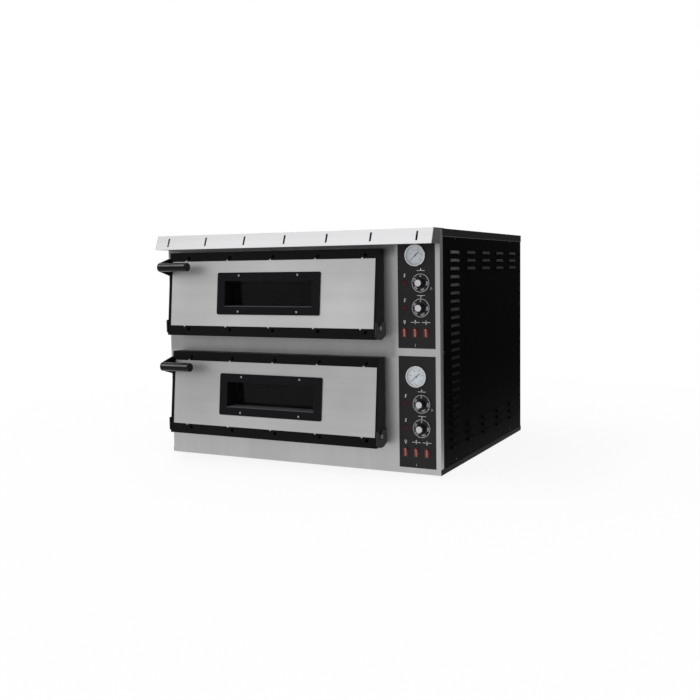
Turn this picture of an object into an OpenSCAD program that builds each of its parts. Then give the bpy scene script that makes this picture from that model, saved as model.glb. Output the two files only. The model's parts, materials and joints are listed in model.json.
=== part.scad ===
// Double-deck electric pizza oven for a shop counter.
// X runs to the right, Y runs from the front to the back and Z runs up, in millimetres.
// The origin is on the counter, at the middle of the oven's outer box.
// Most modules work in the casing's own frame: x from its left side, y from its front face
// and z from its underside.

/* [Casing] */
// Width over the lid and base flanges
body_w = 1010; // [960:10:1100]
// Depth from the front face to the back face
body_d = 850; // [820:10:950]
// Height of the casing without its feet
body_h = 751; // [735:1:800]
// Thickness of the casing sheet
sheet = 1.2; // [1:0.1:1.5]
// Depth of the lid's folded edge
lid_flange = 24; // [18:1:30]
// Height of the base pan's folded edge
base_flange = 17; // [12:1:22]
// Width of the front panel's return on each side
return_w = 24; // [16:1:30]
// Width of the joggled edge that the side panel is screwed to
joggle_w = 21; // [16:1:30]
// Diameter of a rubber foot
foot_d = 40; // [30:1:60]
// Height of a rubber foot
foot_h = 5; // [3:0.5:12]
// Distance from the casing's edges to a foot's centre
foot_inset = 60; // [45:5:100]
// Width of the rails inside the casing's long edges
rail_leg = 26; // [22:1:34]
// Height of the rails inside the casing's long edges
rail_h = 34; // [33:1:44]
// Thickness of the rails and bearers
rail_t = 1.5; // [1:0.1:2.5]
// Height of the bearers under the chambers
bearer_h = 40; // [25:1:50]
// Width of the bearers
bearer_w = 30; // [20:1:50]
// Distance from the chambers' front and back to the bearers
bearer_in = 120; // [90:5:160]
// Distance from the bulkhead to the control plates
bulkhead_gap = 13; // [8:1:20]

/* [Side louvres] */
// Length of one louvre
louver_l = 78; // [50:1:100]
// Height of one louvre
louver_h = 14; // [10:0.5:18]
// How far a louvre stands out of the panel
louver_out = 5; // [3:0.5:6.5]
// Height of the lowest row
louver_bottom = 69.5; // [60:0.5:90]
// Height from one row to the next
louver_step = 25.4; // [22:0.1:25.6]
// Rows at the top and at the bottom of the other columns
louver_end_rows = 3; // [1:1:5]
// Distance from the front face to the rear end of the first column
louver_first = 164.5; // [140:0.5:180]
// Distance from one column to the next
louver_pitch = 152.3; // [110:0.1:158]
// Least distance from the last column to the back face
louver_back = 70; // [50:1:76]

/* [Hood] */
// Height of the hood
hood_h = 46; // [35:0.5:50]
// Reach of the hood's upper edge
hood_top_reach = 51; // [45:0.5:60]
// Reach of the hood's lower edge
hood_reach = 69; // [62:0.5:90]
// Length of the hood's flange on the lid
hood_flange = 30; // [20:1:60]
// Width of the hem inside the lower edge
hood_hem = 8; // [4:0.5:12]
// Number of slits
slit_count = 7; // [3:1:7]
// Distance from the hood's ends to the first and last slits
slit_in = 50; // [30:1:80]
// Height of the slits above the middle of the hood
slit_up = 0.5; // [0:0.5:3]
// Width of a slit
slit_w = 6.5; // [3:0.5:8]
// Height of a slit
slit_h = 28; // [15:1:34]

/* [Decks] */
// Distance from the casing's left side to the doors
door_left = 44; // [30:1:60]
// Height of the lower door's bottom edge
door_bottom = 83; // [75:1:90]
// Gap between the doors
deck_gap = 57; // [48:1:66]
// Gap between the upper door and the hood
hood_gap = 11; // [4:0.5:14]
// Distance from the doors to the control plates
bay_gap = 46; // [42:1:52]
// Distance from a door's sides to the mouth behind it
mouth_in = 40.5; // [38.5:0.5:60]
// Height of a mouth above its door's bottom edge
mouth_up = 81; // [72:1:90]
// Distance from a mouth to its door's top edge
mouth_down = 44; // [42:1:60]
// Depth of a chamber
chamber_d = 700; // [600:5:710]
// Height of the sill that holds the stones back
sill_h = 32; // [32:1:38]
// Height of the chamber above its mouth
head_h = 14; // [14:1:20]
// Thickness of the baking stones
stone_t = 18; // [12:0.5:18]
// Thickness of the insulation
wool_t = 50; // [30:1:52]
// Diameter of the heating elements
element_d = 8; // [6:0.5:8.5]
// Distance from a mouth's sides to an element's outer legs
element_side = 70; // [67:1:90]
// Legs of an element
element_legs = 8; // [4:4:8]
// Distance from the chamber's front and back to the elements
element_in = 20; // [16:1:30]
// Distance from the chamber's front to the first clips, and from its back to the last
clip_in = 180; // [120:5:220]
// Diameter of a lamp's cup
lamp_d = 40; // [30:1:50]
// Length of a lamp's cup
lamp_l = 45; // [35:1:55]
// Distance from the chamber's back to the lamp
lamp_in = 140; // [100:5:200]
// Diameter of the sensor bulbs
bulb_d = 6; // [4:0.5:8]
// Length of the sensor bulbs
bulb_l = 60; // [40:1:63]
// Distance from the chamber's front to the first high sensor bulb
bulb_in = 90; // [70:5:110]
// Distance from one high sensor bulb to the next
bulb_step = 30; // [20:1:40]
// Distance from the chamber's front to the low sensor bulb
low_bulb_in = 48; // [30:1:50]
// Width of the fibre seal round a mouth
seal_w = 12; // [8:0.5:15]
// Distance from a mouth to its seal
seal_off = 10; // [6:0.5:14]
// Width of the chamber's flange behind the front panel
chamber_flange = 15; // [8:1:20]

/* [Doors] */
// Distance from the front face to the door's front at its top
door_top_d = 44.5; // [40:0.5:52]
// Distance from the front face to the door's front at its bottom
door_foot_d = 71; // [64:0.5:80]
// Gap between the door and the front face
door_gap = 6; // [4:0.1:8]
// Thickness of the door's sheet
door_t = 1.5; // [1:0.1:2]
// Thickness of the stainless skin
skin_t = 1.5; // [1:0.1:3]
// Black band under the skin
band_bottom = 33; // [26:0.5:38]
// Black band over the skin
band_top = 30; // [24:0.5:38]
// Black border left of the skin
border_left = 13; // [8:0.5:20]
// Black border right of the skin
border_right = 6; // [4:0.5:20]
// Distance from the skin's left edge to its first tab
tab_first = 56; // [20:1:70]
// Distance from one tab to the next
tab_step = 165.2; // [120:0.1:168]
// Width of a tab
tab_w = 5; // [3:0.5:8]
// Height of a tab
tab_h = 3.5; // [2:0.5:5]
// Diameter of the vent holes in the bands
vent_d = 11; // [6:0.5:14]
// Distance from a tab to the vent hole in the top band
vent_shift_top = 10; // [0:1:20]
// Distance from a tab to the vent hole in the bottom band
vent_shift_bottom = 17; // [0:1:20]
// Distance from the skin to the vent holes
vent_up = 11; // [8:0.5:14]
// Thickness of the inner sheet
liner_t = 1.2; // [0.8:0.1:2]
// Thickness of the door's insulation
pad_t = 30; // [15:1:33]

/* [Windows] */
// Width of the window bezel
bezel_w = 387; // [370:1:420]
// Height of the window bezel
bezel_h = 138; // [124:1:150]
// Thickness of the bezel
bezel_t = 3; // [2:0.1:5]
// Radius of the bezel's corners
bezel_r = 6; // [3:0.5:12]
// Width of the window
window_w = 328; // [280:1:332]
// Height of the window
window_h = 82; // [60:1:84]
// Wall of the sleeve between bezel and glass
sleeve_t = 1.2; // [0.8:0.1:2]
// Thickness of the glass
glass_t = 4; // [3:0.5:5]
// How far the glass laps the sleeve
glass_lap = 12; // [6:0.5:16]
// Radius of the corners of the window in the inner sheet
liner_window_r = 10; // [4:0.5:20]
// How much smaller the window in the inner sheet is
liner_window_in = 5; // [3:0.5:8]
// Width between the bezel's screws
bezel_screws_w = 221; // [150:1:300]
// Distance from a bezel screw to the bezel's edge
bezel_screw_in = 10; // [6:0.5:12]
// Diameter of the bezel screws' heads
bezel_head_d = 7; // [6:0.5:8]

/* [Handles] */
// Diameter of the grip
grip_d = 29; // [24:0.5:34]
// Length of the grip
grip_l = 113; // [90:1:140]
// Distance from the front face to the grip's axis
grip_out = 99; // [92:0.5:120]
// Distance from the door's top edge to the grip's axis
grip_down = 48; // [40:1:90]
// Depth of the bolt's hole in the grip
grip_hole = 31; // [20:1:50]
// Radius of the grip's edges
grip_edge = 4; // [1:0.5:8]
// Thickness of the arm
arm_t = 4; // [3:0.5:6]
// Height of the arm on the door
arm_h = 57; // [40:1:66]
// Length of the arm on the door's side
arm_lap = 28; // [20:1:36]

/* [Hinges] */
// Distance from the front face to the pivot
pivot_in = 46; // [44:0.5:50]
// Height of the pivot above the door's bottom edge
pivot_up = 34; // [30:0.5:38]
// Diameter of the pivot screw
pin_d = 8; // [6:0.5:10]
// Diameter of the pivot screw's head
pin_head_d = 13; // [11:0.5:16]
// Height of the pivot screw's head
pin_head_h = 5; // [2:0.5:6]
// Running clearance round the pivot screw
pin_fit = 0.05; // [0.03:0.01:0.08]
// Thickness of the hinge bracket
bracket_t = 2.5; // [2:0.5:4]
// Reach of the hinge bracket
bracket_reach = 73; // [70:1:90]
// Height of the bracket's top above the door's bottom edge
bracket_top = 51; // [46:1:58]
// How far the bracket hangs below the door's bottom edge
bracket_drop = 2.5; // [1:0.5:6]
// Height of the curve along the bracket's bottom
bracket_bow = 13; // [6:0.5:18]
// Width of the notch in the bracket's top
notch_w = 36; // [24:1:44]
// Depth of the notch
notch_d = 10; // [6:0.5:12]
// Gap between the bracket and the door
bracket_gap = 0.6; // [0.5:0.1:1.5]
// Width of the bracket's tab behind the front panel
bracket_tab = 16; // [10:1:20]

/* [Controls] */
// Width of a control plate
plate_w = 122; // [116:1:126]
// Thickness of a control plate
plate_t = 1; // [0.5:0.1:2]
// Distance from the casing's right side to the control plates
plate_right = 17; // [10:1:22]
// Height of the lower control plate's bottom edge
plate_bottom = 18; // [16:1:28]
// Gap between the control plates
plate_gap = 24; // [20:1:40]
// Distance from the upper control plate to the casing's top
plate_top = 17; // [12:1:30]
// Diameter of the thermometer
gauge_d = 67; // [56:1:72]
// Distance from the plate's left edge to the thermometer's centre
gauge_across = 59; // [50:1:66]
// Distance from the plate's top edge to the thermometer's centre
gauge_down = 62.5; // [50:0.5:65]
// How much further from the upper knob the thermometer is than a knob from the next
gauge_more = 8; // [0:1:15]
// How far the thermometer's rim stands out
gauge_out = 8; // [7:0.5:12]
// Depth of the thermometer behind the plate
gauge_depth = 24; // [15:1:40]
// Width of the thermometer's rim
gauge_rim = 4; // [3:0.5:6]
// Distance from the plate's left edge to the dial knobs
knob_across = 76; // [70:1:80]
// Diameter of a knob's skirt
skirt_d = 58; // [50:1:62]
// Thickness of a knob's skirt
skirt_t = 2.5; // [1.5:0.1:4]
// Gap behind a knob's skirt
skirt_gap = 0.5; // [0.3:0.1:1]
// How far a knob stands out of its plate
knob_out = 25; // [18:0.5:30]
// Diameter of a knob at its root
knob_root_d = 30; // [26:0.5:36]
// Diameter of a knob at its tip
knob_tip_d = 24; // [21:0.5:26]
// Diameter of a knob's shaft
shaft_d = 6; // [5:0.5:6]
// Running clearance round shafts and switch pins
shaft_fit = 0.05; // [0.03:0.01:0.08]
// Width of a thermostat's body
thermostat_w = 38; // [30:1:44]
// Depth of a thermostat's body
thermostat_d = 32; // [24:1:40]
// Distance from the plate's left edge to the pilot lamps
pilot_across = 22; // [18:0.5:26]
// Diameter of a pilot lamp's rim
pilot_d = 16; // [10:0.5:18]
// Width of a pilot lamp's rim
pilot_rim = 1; // [0.5:0.1:2]
// Height of a pilot lamp's rim
pilot_rim_h = 2; // [1:0.1:3]
// Height of a pilot lamp's lens over its rim
lens_h = 2.5; // [1:0.1:4]
// Length of a pilot lamp's body behind the front panel
pilot_l = 20; // [12:1:30]
// Distance from the plate's left edge to the first switch
switch_first = 21.5; // [18:0.5:24]
// Distance from one switch to the next
switch_step = 35.4; // [30:0.1:37]
// Height of the switches on the plate
switch_up = 48.5; // [38:0.5:54]
// Width of a switch's rocker
rocker_w = 13; // [10:0.5:14]
// Height of a switch's rocker
rocker_h = 27; // [22:0.5:30]
// Wall of a switch round its rocker
switch_wall = 1; // [0.8:0.1:2]
// Width of a switch's flange on the plate
switch_rim = 1.5; // [1:0.1:2.5]
// Height of a switch's flange
switch_rim_h = 1.2; // [0.8:0.1:2]
// Thickness of a switch's back
switch_base = 10; // [6:1:12]
// Height of a rocker's dip over the plate
rocker_up = 2.6; // [2:0.1:4]
// Thickness of a rocker's ends
rocker_lip = 1.2; // [0.8:0.1:2]
// Depth of a rocker behind the plate's face
rocker_in = 5; // [4:0.5:8]
// Depth of a switch behind the plate
switch_depth = 22; // [16:1:30]
// Travel of a rocker in degrees
rocker_travel = 16; // [10:1:20]

/* [Back] */
// Height of the cable gland
gland_up = 62; // [50:1:90]
// Distance from the casing's right side to the cable gland
gland_right = 80; // [70:1:110]
// Diameter of the gland's thread
gland_d = 25; // [20:0.5:32]
// How far the gland stands out of the back
gland_out = 22; // [18:0.5:30]
// Height of a gland's nuts
gland_nut = 5; // [4:0.5:8]
// Width of a vent slot in the back
slot_w = 6; // [4:0.5:8]
// Height of a vent slot in the back
slot_h = 36; // [20:1:44]
// Distance from one vent slot to the next
slot_step = 22; // [14:1:30]
// Distance from the casing's left side to the first vent slot
slot_left = 120; // [60:5:200]
// Least distance from the vent slots to the casing's right side
slot_right = 230; // [180:5:300]
// Distance from the casing's top and bottom to the outer rows of vent slots
slot_in = 90; // [70:1:110]
// Height from the outer to the inner rows of vent slots
slot_rise = 50; // [48:1:60]
// Length of the terminal block
terminal_l = 70; // [60:1:90]
// Width of the terminal block
terminal_w = 30; // [20:1:40]
// Height of the terminal block
terminal_h = 32; // [22:1:40]
// Distance from the back to the terminal block
terminal_in = 100; // [60:5:160]

/* [Screws] */
// Diameter of the casing screws
screw_d = 4; // [3:0.5:4]
// Diameter of the casing screws' heads
screw_head_d = 8; // [6:0.5:9]
// Height of the casing screws' heads
screw_head_h = 2; // [1.5:0.1:3]
// Radial clearance of screw holes
screw_fit = 0.1; // [0.05:0.05:0.3]
// Distance from the front face to the first screws along a side's edges
side_screw_y = 129; // [90:1:150]
// Distance from a side's top and bottom edges to its screws
side_screw_in = 29; // [28:0.5:34]
// Distance from the back face to the last screws along a side's edges
side_screw_end = 149; // [100:1:170]
// Distance from the casing's sides to the screws along the back and the hood
edge_screw_in = 60; // [40:1:90]
// Distance from the folded edges to the back panel's screws
fold_screw_in = 7; // [5:0.5:8]

/* [Hidden] */
$fn = 48;
eps = 0.02;
seat = 0.3;
front_reach = grip_out + grip_d / 2;
back_reach = gland_out - sheet;
y_face = front_reach - (front_reach + body_d + back_reach) / 2;
decks = [0, 1];
sides = [0, 1];

// Casing
side_face = sheet;
side_inner = 2 * sheet;
joggle_inner = 3 * sheet;
back_inner = body_d - 2 * sheet;
lid_under = body_h - sheet;
rail_front = return_w + joggle_w + 2;
rail_back = back_inner - joggle_w - 2;
side_screw_back = body_d - side_screw_end;
joggle_screw = return_w + 6;
back_joggle_screw = back_inner - joggle_w / 2 - 2;
edge_screw_xs = [edge_screw_in, body_w / 2, body_w - edge_screw_in];
louver_rows = floor((body_h - 2 * louver_bottom) / louver_step) + 1;
louver_cols = floor((body_d - louver_first - louver_back) / louver_pitch) + 1;
slit_step = (body_w - 2 * slit_in) / (slit_count - 1);
cable_d = gland_d * 0.56;

// Doors
plate_x = body_w - plate_right - plate_w;
bulkhead_x = plate_x - bulkhead_gap;
door_w = plate_x - bay_gap - door_left;
door_h = (body_h - hood_h - hood_gap - deck_gap - door_bottom) / 2;
deck_pitch = door_h + deck_gap;
door_x = door_left + door_w / 2;
grip_up = door_h - grip_down;
lean = atan((door_foot_d - door_top_d) / door_h);
heel_r = pivot_in - door_gap;
skin_w = door_w - border_left - border_right;
skin_x = door_left + border_left;
skin_h = (door_h - band_bottom - band_top) / cos(lean);
window_x = skin_x + skin_w / 2;
window_z = band_bottom + (door_h - band_bottom - band_top) / 2;
tab_count = floor((skin_w - tab_first - tab_w) / tab_step) + 1;
liner_y = -door_gap - liner_t;
glass_y = liner_y - glass_t;
bezel_screw_rise = bezel_h / 2 - bezel_screw_in;
boss_d = pin_d + 8;
boss_l = 12;
pad_in = boss_l + door_t + 1;
arm_facets = 24;

// Chambers
mouth_w = door_w - 2 * mouth_in;
mouth_h = door_h - mouth_up - mouth_down;
chamber_w = mouth_w + 2 * sheet;
chamber_back = 2 * sheet + chamber_d;
chamber_h = sill_h + mouth_h + head_h;
rest_h = sill_h - stone_t;
element_low_z = rest_h / 2;
element_high_z = chamber_h - 15;
element_step = (mouth_w - 2 * element_side) / (element_legs - 1);
element_front = element_in + element_step / 2;
element_back = chamber_d - element_front;
rest_w = 10;
rest_front = 150;
rest_back = chamber_d - 120;
clip_t = 1.2;
clip_w = 12;
clip_ys = [clip_in, chamber_d - clip_in - clip_w];
lamp_y = chamber_d - lamp_in;
lamp_z = sill_h + mouth_h / 2;
lamp_lip = 5;
lamp_bulb_d = 18;
bulb_ys = [bulb_in, bulb_in + bulb_step];
bearer_ys = [bearer_in, chamber_d - bearer_in - bearer_w];

// Controls
plate_h = (body_h - plate_bottom - plate_gap - plate_top) / 2;
plate_pitch = plate_h + plate_gap;
gauge_up = plate_h - gauge_down;
gauge_r = gauge_d / 2 - gauge_rim;
needle_long = gauge_r - 5;
needle_short = gauge_r / 2;
needle_cold = 228;
knob_step = (gauge_up - gauge_more - switch_up) / 3;
knob_zs = [switch_up + knob_step, switch_up + 2 * knob_step];
switch_ids = [0, 1, 2];
socket_d = 10;
rocker_pin_d = 2.4;
rocker_tilt = rocker_travel / 2;

function deck_z(deck) = door_bottom + deck * deck_pitch;
function floor_z(deck) = deck_z(deck) + mouth_up - sill_h;
function plate_z(deck) = plate_bottom + deck * plate_pitch;
function door_front(z) = -door_foot_d + (door_foot_d - door_top_d) * z / door_h;
// Angle round a circle at which a line from point p touches it.
function touch_angle(p, centre, r, side) =
    atan2(p[1] - centre[1], p[0] - centre[0]) + side * acos(r / norm(p - centre));

// ---------- helpers ----------

// Moves children from the casing's own frame to the part's frame.
module casing() translate([-body_w / 2, y_face, foot_h]) children();

// A block between two values on each axis.
module block(x, y, z)
    translate([x[0], y[0], z[0]]) cube([x[1] - x[0], y[1] - y[0], z[1] - z[0]]);

// Draws children once for each side, mirrored about the casing's middle on the right.
module both_sides()
    for (side = sides) translate([side * body_w, 0, 0]) mirror([side, 0, 0]) children();

// Draws children once for each side of the doors, mirrored about the doors' middle on the right.
module door_ends()
    for (side = sides) translate([door_x, 0, 0]) mirror([side, 0, 0]) translate([-door_x, 0, 0]) children();

// Extrudes a flat outline of y and z along x.
module along_x(x0, length)
    translate([x0, 0, 0]) rotate([90, 0, 90]) linear_extrude(length) children();

// A rod along x.
module rod_x(x0, length, d) translate([x0, 0, 0]) rotate([0, 90, 0]) cylinder(h = length, d = d);

// A rod along y.
module rod_y(y0, length, d) translate([0, y0, 0]) rotate([-90, 0, 0]) cylinder(h = length, d = d);

// A turned shape about y. Its outline gives radius and depth.
module turned_y() rotate([-90, 0, 0]) rotate_extrude() children();

// A rectangle about the middle with round corners, extruded along y from y0.
module round_plate(w, h, r, y0, t)
    translate([0, y0 + t, 0]) rotate([90, 0, 0]) linear_extrude(t) {
        square([w - 2 * r, h], center = true);
        square([w, h - 2 * r], center = true);
        for (x = [-1, 1], z = [-1, 1]) translate([x * (w / 2 - r), z * (h / 2 - r)]) circle(r);
    }

// A pan-head screw with a cross recess, along y: its head stands in front of y = 0.
module screw_y(length, d = screw_d, head_d = screw_head_d, head_h = screw_head_h) {
    long = 0.28 * head_d;
    wide = 0.06 * head_d;
    difference() {
        turned_y() polygon([[0, -head_h], [head_d * 0.3, -head_h], [head_d / 2, -head_h * 0.4],
            [head_d / 2, 0], [d / 2, 0], [d / 2, length], [0, length]]);
        for (turn = [0, 90]) rotate([0, turn, 0])
            block([-long, long], [-head_h - 1, -head_h * 0.4], [-wide, wide]);
    }
}

// Places children at the screws of one side panel, which point into the casing along x.
module side_screw_places() {
    for (z = [side_screw_in, body_h - side_screw_in], y = [side_screw_y, side_screw_back])
        translate([0, y, z]) children();
    for (y = [joggle_screw, back_joggle_screw]) translate([0, y, body_h / 2]) children();
}

// ---------- casing ----------

module base_pan() color("#1b1b1d") casing() difference() {
    union() {
        block([0, body_w], [sheet, body_d], [0, sheet]);
        both_sides() block([0, sheet], [0, body_d], [0, base_flange]);
        block([0, body_w], [body_d - sheet, body_d], [0, base_flange]);
    }
    back_screw_places() rod_y(-1, 6, screw_d + 2 * screw_fit);
}

module feet() color("#202020") casing()
    for (x = [foot_inset, body_w - foot_inset], y = [foot_inset, body_d - foot_inset])
        translate([x, y, -foot_h]) cylinder(h = foot_h, d = foot_d);

// Angle rails in the four long corners, and channel bearers across under each chamber.
module frame_rails() color("#8d9093") casing() {
    difference() {
        both_sides() {
            rail(sheet, 1);
            rail(lid_under, -1);
        }
        both_sides() side_screw_places() rod_x(side_inner - 1, rail_t + 2, screw_d + 2 * screw_fit);
    }
    for (deck = decks, y = bearer_ys) bearer(y, floor_z(deck) - sheet);
}

module rail(z0, up) {
    block([side_inner, side_inner + rail_t], [rail_front, rail_back],
        up > 0 ? [z0, z0 + rail_h] : [z0 - rail_h, z0]);
    block([side_inner, side_inner + rail_leg], [rail_front, rail_back],
        up > 0 ? [z0, z0 + rail_t] : [z0 - rail_t, z0]);
}

module bearer(y, top) {
    block([side_inner, bulkhead_x], [y, y + bearer_w], [top - rail_t, top]);
    for (edge = [y, y + bearer_w - rail_t])
        block([side_inner, bulkhead_x], [edge, edge + rail_t], [top - bearer_h, top]);
}

module front_panel() color("#b9babb") casing() difference() {
    union() {
        block([side_face, body_w - side_face], [0, sheet], [0, lid_under]);
        both_sides() {
            block([side_face, side_inner], [0, return_w], [sheet, lid_under]);
            block([side_inner, joggle_inner], [return_w - sheet, return_w + joggle_w], [sheet, lid_under]);
        }
    }
    for (deck = decks) {
        translate([door_x, 0, deck_z(deck) + mouth_up])
            block([-mouth_w / 2, mouth_w / 2], [-1, sheet + 1], [0, mouth_h]);
        translate([0, 0, deck_z(deck)]) door_ends()
            block([bracket_x() - seat, bracket_x() + bracket_t + seat], [-1, sheet + 1],
                [bracket_sole(0) - seat, bracket_top + seat]);
        control_holes(deck, -1, sheet + 2);
    }
    both_sides() translate([0, joggle_screw, body_h / 2])
        rod_x(side_inner - 1, sheet + 2, screw_d + 2 * screw_fit);
}

module left_side_panel() color("#17171a") casing() side_panel();

module right_side_panel() color("#17171a") casing()
    translate([body_w, 0, 0]) mirror([1, 0, 0]) side_panel();

// One side panel, drawn on the left. Its louvres stand out towards -x.
module side_panel() {
    difference() {
        block([side_face, side_inner], [return_w + seat, back_inner], [sheet, lid_under]);
        louver_places() louver_core(louver_h / 2 - sheet);
        side_screw_places() rod_x(0, side_inner + 1, screw_d + 2 * screw_fit);
    }
    louver_places() intersection() {
        difference() {
            louver_core(louver_h / 2);
            louver_core(louver_h / 2 - sheet);
        }
        block([side_face - louver_out - 1, side_inner], [-louver_l, louver_l], [-louver_h / 5, louver_h]);
    }
}

// Places children at each louvre's middle, on the panel's outer face.
module louver_places()
    for (col = [0:louver_cols - 1], row = [0:louver_rows - 1])
        if (col == 0 || row < louver_end_rows || row >= louver_rows - louver_end_rows)
            translate([side_face, louver_first + col * louver_pitch - louver_l / 2,
                louver_bottom + row * louver_step]) children();

// A long bar with round ends, sunk so that it stands louver_out above the panel.
module louver_core(r) {
    straight = louver_l / 2 - louver_h / 2;
    translate([louver_h / 2 - louver_out, 0, 0]) {
        rotate([90, 0, 0]) cylinder(h = 2 * straight, r = r, center = true);
        for (end = [-1, 1]) translate([0, end * straight, 0]) sphere(r);
    }
}

module back_panel() color("#1b1b1d") casing() difference() {
    union() {
        block([side_face, body_w - side_face], [back_inner, back_inner + sheet], [sheet, lid_under]);
        both_sides()
            block([side_inner, joggle_inner], [back_inner - joggle_w, back_inner], [sheet, lid_under]);
    }
    translate([body_w - gland_right, 0, gland_up])
        rod_y(back_inner - 1, sheet + 2, gland_d + 2 * screw_fit);
    back_vents();
    both_sides() translate([0, back_joggle_screw, body_h / 2])
        rod_x(side_inner - 1, sheet + 2, screw_d + 2 * screw_fit);
    back_screw_places() rod_y(-1, 6, screw_d + 2 * screw_fit);
}

// Two rows of upright slots near the top and two near the bottom of the back.
module back_vents()
    for (z = [slot_in, slot_in + slot_rise, body_h - slot_in - slot_rise, body_h - slot_in],
        x = [slot_left:slot_step:body_w - slot_right])
        block([x, x + slot_w], [back_inner - 1, back_inner + sheet + 1], [z - slot_h / 2, z + slot_h / 2]);

// Places children at the back panel's screws, on the lid's and base pan's back edges.
module back_screw_places()
    for (x = edge_screw_xs, z = [base_flange - fold_screw_in, body_h - lid_flange + fold_screw_in])
        translate([x, back_inner, z]) children();

module top_cover() color("#1b1b1d") casing() difference() {
    union() {
        block([0, body_w], [0, body_d], [lid_under, body_h]);
        both_sides() block([0, sheet], [return_w + seat, body_d], [body_h - lid_flange, body_h]);
        block([0, body_w], [body_d - sheet, body_d], [body_h - lid_flange, body_h]);
    }
    back_screw_places() rod_y(-1, 6, screw_d + 2 * screw_fit);
    hood_screw_places() translate([0, 0, -6]) cylinder(h = 8, d = screw_d + 2 * screw_fit);
}

// Sheet visor along the top of the front, with end cheeks and a row of upright slits.
module hood() color("#e4e5e6") casing() difference() {
    union() {
        along_x(0, body_w) hood_outline();
        both_sides() along_x(0, sheet) hood_cheek();
    }
    for (i = [0:slit_count - 1])
        translate([body_w / 2 + (i - (slit_count - 1) / 2) * slit_step, 0, 0])
            block([-slit_w / 2, slit_w / 2], [-hood_reach - 1, -hood_top_reach / 2],
                [body_h - hood_h / 2 + slit_up - slit_h / 2, body_h - hood_h / 2 + slit_up + slit_h / 2]);
    hood_screw_places() translate([0, 0, -1]) cylinder(h = 4, d = screw_d + 2 * screw_fit);
}

module hood_outline() {
    slope = (hood_reach - hood_top_reach) / (hood_h + sheet);
    inset = sheet * sqrt(1 + slope * slope);
    foot = body_h - hood_h;
    polygon([[hood_flange, body_h + sheet], [-hood_top_reach, body_h + sheet], [-hood_reach, foot],
        [-hood_reach + hood_hem, foot], [-hood_reach + hood_hem, foot + sheet],
        [-hood_reach + inset + slope * sheet, foot + sheet],
        [-hood_top_reach + inset - slope * sheet, body_h], [hood_flange, body_h]]);
}

module hood_cheek() {
    foot = body_h - hood_h;
    polygon([[-seat, body_h + sheet], [-hood_top_reach, body_h + sheet], [-hood_reach, foot],
        [-seat, foot]]);
}

// Places children at the hood's screws, on the lid.
module hood_screw_places()
    for (x = edge_screw_xs) translate([x, hood_flange / 2 + 2, body_h]) children();

module casing_screws() color("#9a9c9e") casing() {
    both_sides() side_screw_places() translate([side_face, 0, 0]) rotate([0, 0, -90]) screw_y(8);
    back_screw_places() translate([0, 2 * sheet, 0]) mirror([0, 1, 0]) screw_y(6);
    hood_screw_places() translate([0, 0, sheet]) rotate([-90, 0, 0]) screw_y(6);
}

module bulkhead() color("#8d9093") casing() difference() {
    block([bulkhead_x, bulkhead_x + sheet], [sheet, back_inner], [sheet, lid_under]);
    for (deck = decks) {
        translate([0, lamp_y, floor_z(deck) + lamp_z]) rod_x(bulkhead_x - 1, sheet + 2, 12);
        translate([0, 30, plate_z(deck) + plate_h / 2]) rod_x(bulkhead_x - 1, sheet + 2, 20);
    }
}

// ---------- chambers ----------

module chamber_lower() chamber(0);

module chamber_upper() chamber(1);

// Steel box behind the front panel, with rests for the stones and elements.
module chamber(deck) color("#a7a9aa") casing() translate([door_x, 0, floor_z(deck)]) difference() {
    union() {
        difference() {
            block([-chamber_w / 2, chamber_w / 2], [sheet, chamber_back + sheet],
                [-sheet, chamber_h + sheet]);
            block([-mouth_w / 2, mouth_w / 2], [2 * sheet, chamber_back], [0, chamber_h]);
        }
        block([-chamber_w / 2 - chamber_flange, chamber_w / 2 + chamber_flange], [sheet, 2 * sheet],
            [-sheet - chamber_flange, chamber_h + sheet + chamber_flange]);
        for (x = [-mouth_w / 2, mouth_w / 2 - rest_w])
            block([x, x + rest_w], [rest_front, chamber_back], [0, rest_h]);
        block([-rest_w / 2, rest_w / 2], [2 * sheet, rest_back], [0, rest_h]);
        element_clips();
    }
    block([-mouth_w / 2, mouth_w / 2], [0, 2 * sheet + eps], [sill_h, sill_h + mouth_h]);
    for (z = [element_low_z, element_high_z]) element_ends(z)
        rod_y(chamber_back - 1, sheet + 2, element_d + 2 * seat);
    translate([0, lamp_y, lamp_z]) rod_x(mouth_w / 2 - 1, sheet + 2, lamp_d + 2 * seat);
    bulb_places() rod_x(mouth_w / 2 - 1, sheet + 2, bulb_d + 2 * seat);
}

// Strips that the elements lie on: low ones on the floor and high ones hung from the ceiling.
module element_clips() {
    span = mouth_w / 2 - 2 * rest_w;
    low = element_low_z - element_d / 2 - 0.1;
    high = element_high_z - element_d / 2 - 0.1;
    for (y = clip_ys) {
        block([-span, span], [y, y + clip_w], [0, low]);
        block([-span, span], [y, y + clip_w], [high - clip_t, high]);
        for (x = [-span, span - clip_t])
            block([x, x + clip_t], [y, y + clip_w], [high - clip_t, chamber_h + eps]);
    }
}

// Places children where an element's two ends pass through the back wall.
module element_ends(z)
    for (x = [-1, 1]) translate([x * (element_legs - 1) / 2 * element_step, 0, z]) children();

module stones() color("#cbb795") casing()
    for (deck = decks, side = [-1, 1]) translate([door_x, 0, floor_z(deck) + rest_h])
        translate([side * mouth_w / 4, 0, 0])
            block([1 - mouth_w / 4, mouth_w / 4 - 1], [2 * sheet + seat, chamber_back - seat],
                [0, stone_t]);

module heating_elements() color("#5b5450") casing()
    for (deck = decks, z = [element_low_z, element_high_z])
        translate([door_x, 0, floor_z(deck) + z]) element();

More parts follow.
